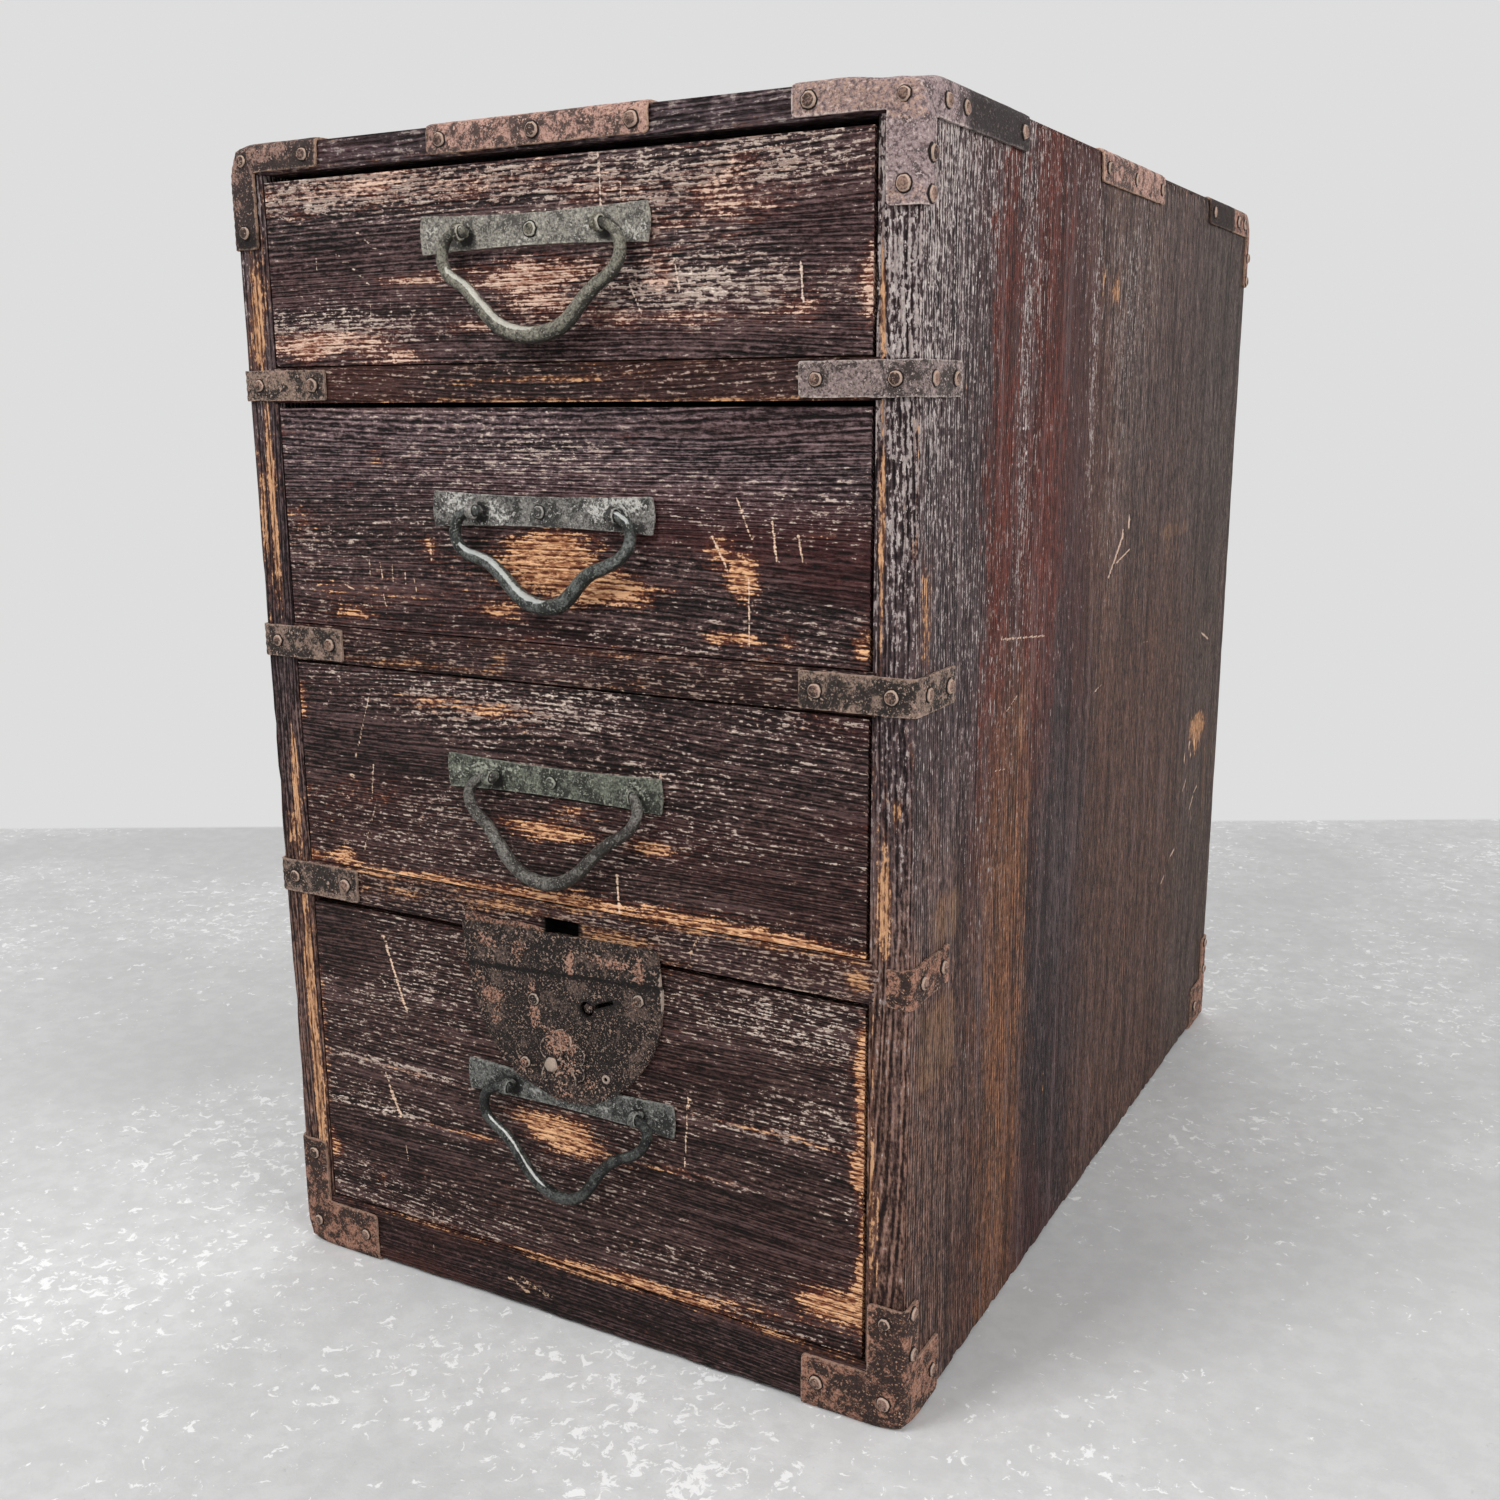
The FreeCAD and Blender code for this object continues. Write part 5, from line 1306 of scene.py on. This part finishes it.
def eye_ring(x, z):
    """Barrel of a split eye round the bail's pin, with its shank and legs in the board."""
    bore, half, around = PIN_R + 0.1, EYE_T / 2, 24
    # radius, x, painted highlight on the lips, painted shade in the bore
    ring = [(bore, -half + 0.5, 0.3, 2.0), (bore + 0.5, -half, 1.3, 0.9), (EYE_R - 0.9, -half, 0.9, 0),
            (EYE_R - 0.2, -half + 0.7, 0.3, 0), (EYE_R, 0, 0, 0), (EYE_R - 0.2, half - 0.7, 0.3, 0),
            (EYE_R - 0.9, half, 0.9, 0), (bore + 0.5, half, 1.3, 0.9), (bore, half - 0.5, 0.3, 2.0)]
    points = np.array([(x + h, PIVOT_Y + r * math.cos(a), z + r * math.sin(a))
                       for r, h, _, _ in ring for a in turns(around)])
    points = points + 0.22 * noise(points, 2.6, 17)[:, None]
    rim, black = (np.repeat([row[m] for row in ring], around) for m in (2, 3))
    shank_y = PIVOT_Y + EYE_R - 1.5
    shank = lathe([(1.9, 0), (1.9, 4.2), (2.7, 4.9), (2.7, 5.3)], 12,
                  lambda a, b, h: (x + a, shank_y + h, z + b))
    low = np.array([x - 1.5, DRAWER_Y + 17, z - 6])
    high = np.array([x + 1.5, DRAWER_Y + 18.5, z + 6])
    leg_points, leg_faces = block(low, high, (1.5, 1, 3), 0.4)
    return [(points, ring_faces(len(ring), around, closed=True), rim, black), shank,
            (wrap(leg_points, low, high, 0.4, 0.0), leg_faces)]


def handle_plate(n, k, z, mid, plate_x):
    def lay(flat, height):
        p0 = np.column_stack([flat[:, 0] + plate_x, np.full(len(flat), DRAWER_Y), flat[:, 1] + z])
        curl = 0.55 * smooth_step(46, 55, np.abs(flat[:, 0])) * (0.6 + 0.4 * noise(p0, 8.0, n))
        p0[:, Y] -= 0.05 + 0.22 * (1 + rough_noise(p0, 12.0, 200 + n)) + curl + height
        return p0

    flat, faces = flat_sheet(plate_outline(), 1.8, (), 0.22, 300 + n)
    # painted shade round the eyes, reaching lower beneath them
    painted_eye_shade = np.zeros(len(flat))
    for sx in (-1, 1):
        eye_x = plate_x - mid - sx * (EYE_SPACING[k] / 2 - 0.6)
        off = np.hypot((flat[:, 0] + eye_x) / 3.6, (flat[:, 1] + 1.4) / 4.4)
        painted_eye_shade = np.maximum(painted_eye_shade, 2.0 * np.exp(-np.clip(off - 0.9, 0, None) ** 2 / 0.03))
    bloom = blob_wear(flat[:, 0] + plate_x, flat[:, 1], PLATE_BLOOM[k])
    points, faces = thickened(flat, faces, lay, PLATE_T)
    # the rim mark paints a highlight along the plate's edges
    bevelled(piece(f"handle_plate_{n}", points, faces, f"drawer_{n}", "handle_iron", PLATES[k],
                   (f"drawer_{n}_handle_plate",), rim=near_rim(flat, plate_outline(), 0.5) * 0.7,
                   black=np.tile(painted_eye_shade, 2), bloom=np.tile(bloom, 2)), 0.35)


def handle_eyes(n, k, z, mid, plate_x):
    """Both eyes, and the plate's centre nail where the lock doesn't cover it."""
    parts = [part for sx in (-1, 1) for part in eye_ring(mid + sx * EYE_SPACING[k] / 2, z)]
    if n != LOCKED:
        parts.append(nail_heads([((plate_x, DRAWER_Y - PLATE_T - 0.4, z), (0, -1, 0))], 2.9, 1.3, 400 + n))
    points, faces, rim, black = merge(parts)
    piece(f"handle_eyes_{n}", points, faces, f"drawer_{n}", "handle_iron", (EYE_IRON, *PLATES[1:])[k],
          (f"drawer_{n}_handle_eyes",), rim=rim, black=black)


def bail_end(sx, mid, z, head_out, pin_end):
    """Centres and radii from the head outside the eye, through the pin, to the rod."""
    reach = [head_out - 1.1, head_out - 0.9, head_out - 0.1, head_out, head_out + 0.05]
    reach += list(np.linspace(head_out + 0.5, pin_end - 0.6, 5))
    return [(mid + sx * a, PIVOT_Y, z) for a in reach], [1.7, 2.3, 2.4, 2.2] + [PIN_R] * 6


def bail_rod(n, k, z, mid):
    """Bail: pins through the eyes and the swelling rod between them."""
    pin_end = EYE_SPACING[k] / 2 + EYE_T / 2 + 0.4
    head_out = EYE_SPACING[k] / 2 - EYE_T / 2 - 0.3
    stops = [(mid - pin_end, z), *BAILS[k], (mid + pin_end, z)]
    path = through([(a, PIVOT_Y, c) for a, c in stops], 110)
    share = np.linspace(0, 1, len(path))
    swell = BAIL_SIDE + (BAIL_MIDDLE[k] - BAIL_SIDE) * np.sin(math.pi * share) ** 2
    radii = PIN_R + (swell - PIN_R) * smooth_step(0, 0.05, np.minimum(share, 1 - share))
    (left, left_r), (right, right_r) = (bail_end(sx, mid, z, head_out, pin_end) for sx in (-1, 1))
    whole = np.array(left + path.tolist() + right[::-1])
    points, faces = tube(whole, left_r + list(radii) + right_r[::-1], 500 + n, 0.05)
    centre = np.concatenate([np.repeat(whole, ROD_AROUND, 0), whole[[0, -1]]])
    away = (points - centre) / np.maximum(np.linalg.norm(points - centre, axis=1), 0.01)[:, None]
    facing, strength, at, half, narrow = BAIL_GLEAM[k]
    # painted highlight on the side of the rod that faces the light
    gleam = smooth_step(narrow, narrow + 0.08, away @ np.array([facing, -0.55, 0.62])) * strength
    gleam = gleam * smooth_step(14, 4, np.abs(centre[:, X] - at) - half)
    # painted shade on the rod's underside
    under = smooth_step(0.25, 0.9, away @ np.array([0.25, 0.15, -0.95])) * 1.25
    piece(f"bail_rod_{n}", points, faces, f"bail_{n}", "handle_iron", BAILS_IRON[k], (f"drawer_{n}_bail",),
          rim=gleam, black=under)


for k, n in enumerate(DRAWERS):
    z, mid = HANDLE_Z[k], HANDLE_MIDDLE[k]
    handle_plate(n, k, z, mid, mid + PLATE_SHIFT[k])
    handle_eyes(n, k, z, mid, mid + PLATE_SHIFT[k])
    bail_rod(n, k, z, mid)

# --- Lock ------------------------------------------------------------------------------------
LOCK_T = 1.5
# outline from the opening's roof down, and its crease's height at the left and at the right
SHIELD = [(46.5, 6.0), (-53.0, 3.5), (-52.0, -16.0), (-47.5, -36.0), (-39.5, -53.0), (-28.5, -63.0),
          (-12.0, -69.3), (5.0, -73.0), (22.5, -67.7), (35.5, -57.0), (47.3, -40.5), (51.8, -20.5),
          (50.5, 0.0), (49.6, 4.3)]
CREASE = (-18.8, -9.3)
KEY, KEY_R, KEY_SLOT, KEY_SLOT_HALF = np.array([12.9, -26.9]), 3.5, 14.5, 0.95
KEY_TURN = math.radians(22)
EYELET, EYELET_R = (21.9, -57.4), 1.2
LOCK_OUT = DRAWER_Y - LOCK_T    # front of the lock plate
LAP = HANDLE_Z[3] + 6.0 + 0.7 - ROOF_4
LOCK_RUST = [(-40, 180, 9, 6, 0.7), (-22, 178, 5, 8, 0.7), (5, 176, 2.5, 8, 0.9), (25, 180, 14, 5, 0.7),
             (41, 178, 3, 8, 0.8), (-38, 154, 8, 5, 0.9), (-15, 150, 4, 9, 0.9), (-36, 143, 6, 5, 0.7),
             (-16, 164, 3, 6, 0.6), (-6, 142, 5, 4, 0.8), (-23, 124, 6, 4, 0.6), (0, 115, 10, 3, 0.6),
             (12, 122, 6, 5, 0.5), (38, 163, 6, 6, 0.5), (-47, 162, 5, 5, 0.5), (25, 148, 18, 16, 0.25)]


def smooth_loop(corners, sharp, rounds=3):
    """Chaikin's corner cutting, leaving the sharp corners."""
    loop = [np.array(c, float) for c in corners]
    keep = [k in sharp for k in range(len(loop))]
    for _ in range(rounds):
        new, new_keep = [], []
        n = len(loop)
        for k in range(n):
            before, after = loop[k - 1], loop[(k + 1) % n]
            if keep[k]:
                new.append(loop[k])
                new_keep.append(True)
            else:
                new += [loop[k] * 0.75 + before * 0.25, loop[k] * 0.75 + after * 0.25]
                new_keep += [False, False]
        loop, keep = new, new_keep
    return np.array(loop)


def crease_at(s):
    return CREASE[0] + (CREASE[1] - CREASE[0]) * (s + 80) / 160


def lock_back(s, t):
    """How far the plate's back stands off the drawer: out for the rail, out for the handle plate."""
    crease = crease_at(s)
    return 0.9 * smooth_step(crease, crease + 1.2, t) + 1.6 * smooth_step(LAP + 1.4, LAP, t)


def lock_lay(flat, height):
    s, t = flat[:, 0], flat[:, 1]
    p0 = np.column_stack([s, np.full(len(s), DRAWER_Y), ROOF_4 + t])
    dent = 0.10 * (1 + rough_noise(p0, 16.0, 61)) + 0.05 * noise(p0, 3.0, 62)
    rim = smooth_step(5.8, 4.0, np.hypot(s - KEY[0], t - KEY[1])) * 0.35
    p0[:, Y] -= lock_back(s, t) + dent + height * (1 + rim)
    return p0


def keyhole():
    """Round hole with a slot out of it, turned by the key's angle."""
    along = np.array([math.cos(KEY_TURN), math.sin(KEY_TURN)])
    across = np.array([-along[1], along[0]]) * KEY_SLOT_HALF
    spread = math.asin(KEY_SLOT_HALF / KEY_R)
    angles = KEY_TURN + np.linspace(spread, 2 * math.pi - spread, 18)
    round_part = KEY + KEY_R * np.column_stack([np.cos(angles), np.sin(angles)])
    end = KEY + along * KEY_SLOT
    return np.concatenate([round_part, [end - across, end + across]])


def lock_shield():
    shield = smooth_loop(SHIELD, {0, 1})
    hole = np.array(EYELET) + EYELET_R * np.column_stack([np.cos(turns(10)), np.sin(turns(10))])
    flat, faces = flat_sheet(shield, 1.6, [keyhole(), hole], 0.25, 70)
    # painted highlight on the rim of the right edge
    bright = 0.15 + blob_wear(flat[:, 0], flat[:, 1], [(51, -13, 9, 9, 1.3)])
    # painted shadow line under the crease
    crease = 2.8 * np.exp(-((flat[:, 1] - crease_at(flat[:, 0]) - 0.6) / 1.1) ** 2)
    bloom = blob_wear(flat[:, 0], flat[:, 1] + ROOF_4, LOCK_RUST)
    points, faces = thickened(flat, faces, lock_lay, LOCK_T)
    # the black mark paints the crease's shadow and shade round the keyhole
    bevelled(piece("lock_shield", points, faces, "drawer_4", "lock_iron", LOCK_IRON, ("lock_plate",),
                   rim=near_rim(flat, shield, 0.6) * np.tile(bright, 2), bloom=np.tile(bloom, 2),
                   black=np.maximum(np.tile(crease, 2), 2.2 * near_rim(flat, keyhole(), 0.6))), 0.3)


def petal(x, t, radius, height, dome):
    """Round plate of the boss with a raised rim."""
    around = 40
    # share of the radius, height, painted shade at the foot, painted highlight on the rim
    profile = [(1.0, 0.0, 2.0, 0), (0.95, height, 1.2, 0), (0.85, height + 0.35, 0, 0.75),
               (0.74, height, 1.0, 0.1), (0.5, height + 0.6 * dome, 0, 0.25), (0.2, height + dome, 0, 0.45)]
    at = LOCK_OUT - 0.2
    points = [(x + s * radius * math.cos(a), at - h, ROOF_4 + t + s * radius * math.sin(a))
              for s, h, _, _ in profile for a in turns(around)]
    points += [(x, at - height - dome, ROOF_4 + t), (x, at + 0.2, ROOF_4 + t)]
    top, back = len(points) - 2, len(points) - 1
    faces = ring_faces(len(profile), around) + cap_faces(top - around, around, top)
    faces += cap_faces(0, around, back)
    black, rim = (np.append(np.repeat([row[m] for row in profile], around), [0, 0]) for m in (2, 3))
    return np.array(points), faces, rim, black


def lock_spring():
    """Leaf spring, bowed towards the bolt."""
    points, faces = block(np.array([6.6, DRAWER_Y + 2.5, ROOF_4 - 54.0]),
                          np.array([7.4, DRAWER_Y + 6, ROOF_4 - 31.0]), (1, 2, 2), 0.2)
    points[:, X] += 3.0 * ((points[:, Z] - ROOF_4 + 42.5) / 11.5) ** 2
    return points, faces


def lock_eyelet():
    """Turned-up rim round the small hole."""
    ring = [(1.0, 0.0), (1.0, 0.7), (1.5, 0.9), (2.0, 0.6), (2.0, 0.0)]
    x, z = EYELET[0], ROOF_4 + EYELET[1]
    points = np.array([(x + r * math.cos(a), LOCK_OUT - 0.1 - h, z + r * math.sin(a))
                       for r, h in ring for a in turns(18)])
    # painted highlight over the whole eyelet
    return points, ring_faces(len(ring), 18, closed=True), np.full(len(points), 1.6)


# x and height of the middle, radius, height, dome
BOSS = [(-6.5, -49.0, 6.6, 0.7, 0.7), (-0.5, -43.6, 5.6, 0.5, 0.7), (6.7, -49.5, 5.5, 0.6, 0.7),
        (7.0, -57.5, 4.6, 0.5, 0.6), (-2.5, -62.0, 10.6, 0.9, 1.0)]
LOCK_NAILS = ((-15.3, -27.4), (39.5, -18.1), (-21.1, -58.2))
STUD = (-5.8, -55.7)
TRIM_RUST = [(-1, 141, 8, 5, 0.9), (-3, 113, 10, 4, 0.9), (-21, 125, 4, 4, 0.6), (38, 165, 4, 4, 0.6),
             (-1, 132, 13, 16, 0.6)]


def lock_trim():
    """Boss with its stud, nails, drill pin, eyelet and spring."""
    def seat(place, out):
        return (place[0], LOCK_OUT - out, ROOF_4 + place[1]), (0, -1, 0)

    nails = nail_heads([seat(place, 0.15) for place in LOCK_NAILS], 2.9, 1.3, 81)
    stud_points, stud_faces, _, stud_black = nail_heads([seat(STUD, 1.3)], 3.2, 2.2, 82)
    # the stud's dome is painted pale through the rim mark, and its foot black as painted shade
    stud = (stud_points, stud_faces, 1.3 * (stud_black < 0.5), stud_black)
    pin = lathe([(2.2, 0), (2.2, 10.6), (1.6, 11.0)], 20,
                lambda a, b, h: (KEY[0] + a, DRAWER_Y + 9.8 - h, ROOF_4 + KEY[1] + b))
    points, faces, rim, black = merge([*(petal(*row) for row in BOSS), nails, pin, lock_eyelet(), stud,
                                       lock_spring()])
    piece("lock_trim", points, faces, "drawer_4", "lock_iron", LOCK_IRON, ("lock_fittings",), rim=rim,
          black=black, bloom=blob_wear(points[:, X], points[:, Z], TRIM_RUST))


lock_shield()
lock_trim()

# --- Pegs of the back ------------------------------------------------------------------------
def peg(low, high):
    """Wooden peg whose end stands a little proud of the back."""
    length, radius = high[Y] - low[Y], (high[X] - low[X]) / 2
    return lathe([(radius, 0), (radius, length), (radius - 0.4, length + 0.3)], 14,
                 lambda a, b, h: (low[X] + radius + a, low[Y] + h, low[Z] + radius + b))


points, faces, _, _ = merge([peg(*box) for box in solids_of("back_pegs")])
piece("back_peg_heads", points, faces, "carcass", "peg_wood", PEG_WOOD, ("back_pegs",))

# --- CAD nodes that stay ---------------------------------------------------------------------
STAYING = {"lock_case": BOLT_IRON, "lock_bolt": BOLT_IRON,
           "shelf_1": INNER_X, "shelf_2": INNER_X, "shelf_3": INNER_X, "bottom_panel": INNER_X}
for n in DRAWERS:
    STAYING[f"drawer_{n}_side_left"] = STAYING[f"drawer_{n}_side_right"] = INNER_Y
    STAYING[f"drawer_{n}_back"] = STAYING[f"drawer_{n}_bottom"] = INNER_X
for node, material in STAYING.items():
    slots = NODES[node].data.materials
    slots.clear()
    slots.append(material)

# --- Floor, light and camera -----------------------------------------------------------------
WALL = tone("dedede")
YAW, PITCH, ROLL = (math.radians(a) for a in (-29.10, -12.78, -0.36))
CAMERA_PLACE = (0.3808, -0.7666, 0.4134)        # metres
LENS = 37.43
SKY = 0.58
FLOOR_END, FLOOR_BACK, FLOOR_SIDE = (0.632, 0.640), (-1.05, -1.35), (1.05, 1.35)    # metres from the middle


def floor_material():
    """Pale worn concrete that ends in a straight line behind the chest."""
    g = Graph("pale_floor")
    cloud = g.noise(260, 1, 4, 0.6)
    grain = g.noise(14, 2, 5, 0.7)
    chip = g.noise(7, 3, 4, 0.7, 0.6)
    color = g.mix(g.step(cloud, 0.35, 0.65), "bfbfbf", "cbcbcb")
    color = g.mix(g.step(grain, 0.40, 0.62), g.mix(0.35, color, "b0b0b0"), color)
    color = g.mix(g.step(g.total((chip, 1.0), (cloud, 0.5), bias=-0.25), 0.60, 0.66, 0, 0.8), color, "e9e9e9")
    color = g.mix(g.step(chip, 0.34, 0.28, 0, 0.4), color, "a5a5a5")
    away = g.total((g.axis(X), math.sin(YAW)), (g.axis(Y), math.cos(YAW)))
    aside = g.math("ABSOLUTE", g.total((g.axis(X), math.cos(YAW)), (g.axis(Y), -math.sin(YAW))))
    far = g.math("MAXIMUM", g.math("MAXIMUM", g.step(away, *FLOOR_END), g.step(away, *FLOOR_BACK)),
                 g.step(aside, *FLOOR_SIDE))
    seen = g.add("ShaderNodeLightPath")
    sight = g.math("MAXIMUM", seen.outputs["Is Camera Ray"],
                   g.math("MAXIMUM", seen.outputs["Is Glossy Ray"], seen.outputs["Is Transmission Ray"]))
    glow = g.add("ShaderNodeEmission")
    glow.inputs["Color"].default_value = WALL
    blend = g.add("ShaderNodeMixShader")
    g.put(blend.inputs[0], g.product(far, sight))
    g.put(blend.inputs[1], g.shader.outputs[0])
    g.put(blend.inputs[2], glow.outputs[0])
    g.put(g.out.inputs[0], blend.outputs[0])
    g.bump(g.total((grain, 1.0), (chip, 0.6)), 0.5, 0.6)
    return g.finish(color, 0.85)


floor_mesh = bpy.data.meshes.new("floor")
steps = [-14.0, -3.0, -1.2, -0.4, 0.4, 1.2, 3.0, 14.0]     # metres
row = len(steps)
floor_mesh.from_pydata([(a, b, 0) for a in steps for b in steps], [],
                       [(i * row + j, (i + 1) * row + j, (i + 1) * row + j + 1, i * row + j + 1)
                        for i in range(row - 1) for j in range(row - 1)])
floor_mesh.materials.append(floor_material())
floor = bpy.data.objects.new("floor", floor_mesh)
bpy.context.scene.collection.objects.link(floor)

world = bpy.data.worlds.new("studio")
bpy.context.scene.world = world
world.use_nodes = True
tree = world.node_tree
tree.nodes.clear()
soft = tree.nodes.new("ShaderNodeBackground")
soft.inputs[0].default_value = (1, 1, 1, 1)
soft.inputs[1].default_value = SKY
seen = tree.nodes.new("ShaderNodeBackground")
seen.inputs[0].default_value = WALL
path_node = tree.nodes.new("ShaderNodeLightPath")
blend = tree.nodes.new("ShaderNodeMixShader")
out = tree.nodes.new("ShaderNodeOutputWorld")
bent, sight = (tree.nodes.new("ShaderNodeMath") for _ in range(2))
for node, a, b in ((bent, path_node.outputs["Is Glossy Ray"], path_node.outputs["Is Transmission Ray"]),
                   (sight, path_node.outputs["Is Camera Ray"], bent.outputs[0])):
    node.operation = "MAXIMUM"
    tree.links.new(a, node.inputs[0])
    tree.links.new(b, node.inputs[1])
tree.links.new(sight.outputs[0], blend.inputs[0])
tree.links.new(soft.outputs[0], blend.inputs[1])
tree.links.new(seen.outputs[0], blend.inputs[2])
tree.links.new(blend.outputs[0], out.inputs[0])


def area_light(name, place, size, power):
    """Rectangular lamp that looks at the chest's middle."""
    light = bpy.data.lights.new(name, "AREA")
    light.shape = "RECTANGLE"
    light.size, light.size_y = size
    light.energy = power
    obj = bpy.data.objects.new(name, light)
    bpy.context.scene.collection.objects.link(obj)
    obj.location = place
    obj.rotation_euler = (Vector((0, 0, 0.28)) - Vector(place)).to_track_quat("-Z", "Y").to_euler()


area_light("key", (-0.8, -1.7, 2.1), (0.9, 0.7), 38)
area_light("fill", (2.0, -0.7, 1.2), (1.4, 1.2), 34)
area_light("back", (-0.6, 2.0, 1.7), (1.4, 1.2), 16)

ahead = Vector((math.sin(YAW) * math.cos(PITCH), math.cos(YAW) * math.cos(PITCH), math.sin(PITCH)))
right = Vector((math.cos(YAW), -math.sin(YAW), 0))
up = right.cross(ahead)
turned_right = math.cos(ROLL) * right + math.sin(ROLL) * up
turned_up = -math.sin(ROLL) * right + math.cos(ROLL) * up
camera_data = bpy.data.cameras.new("camera")
camera_data.lens = LENS
camera_data.sensor_width = 36
camera_data.clip_start = 0.01
camera = bpy.data.objects.new("camera", camera_data)
bpy.context.scene.collection.objects.link(camera)
basis = Matrix((turned_right, turned_up, -ahead)).transposed().to_4x4()
camera.matrix_world = Matrix.Translation(CAMERA_PLACE) @ basis
bpy.context.scene.camera = camera
bpy.context.scene.view_settings.view_transform = "Standard"
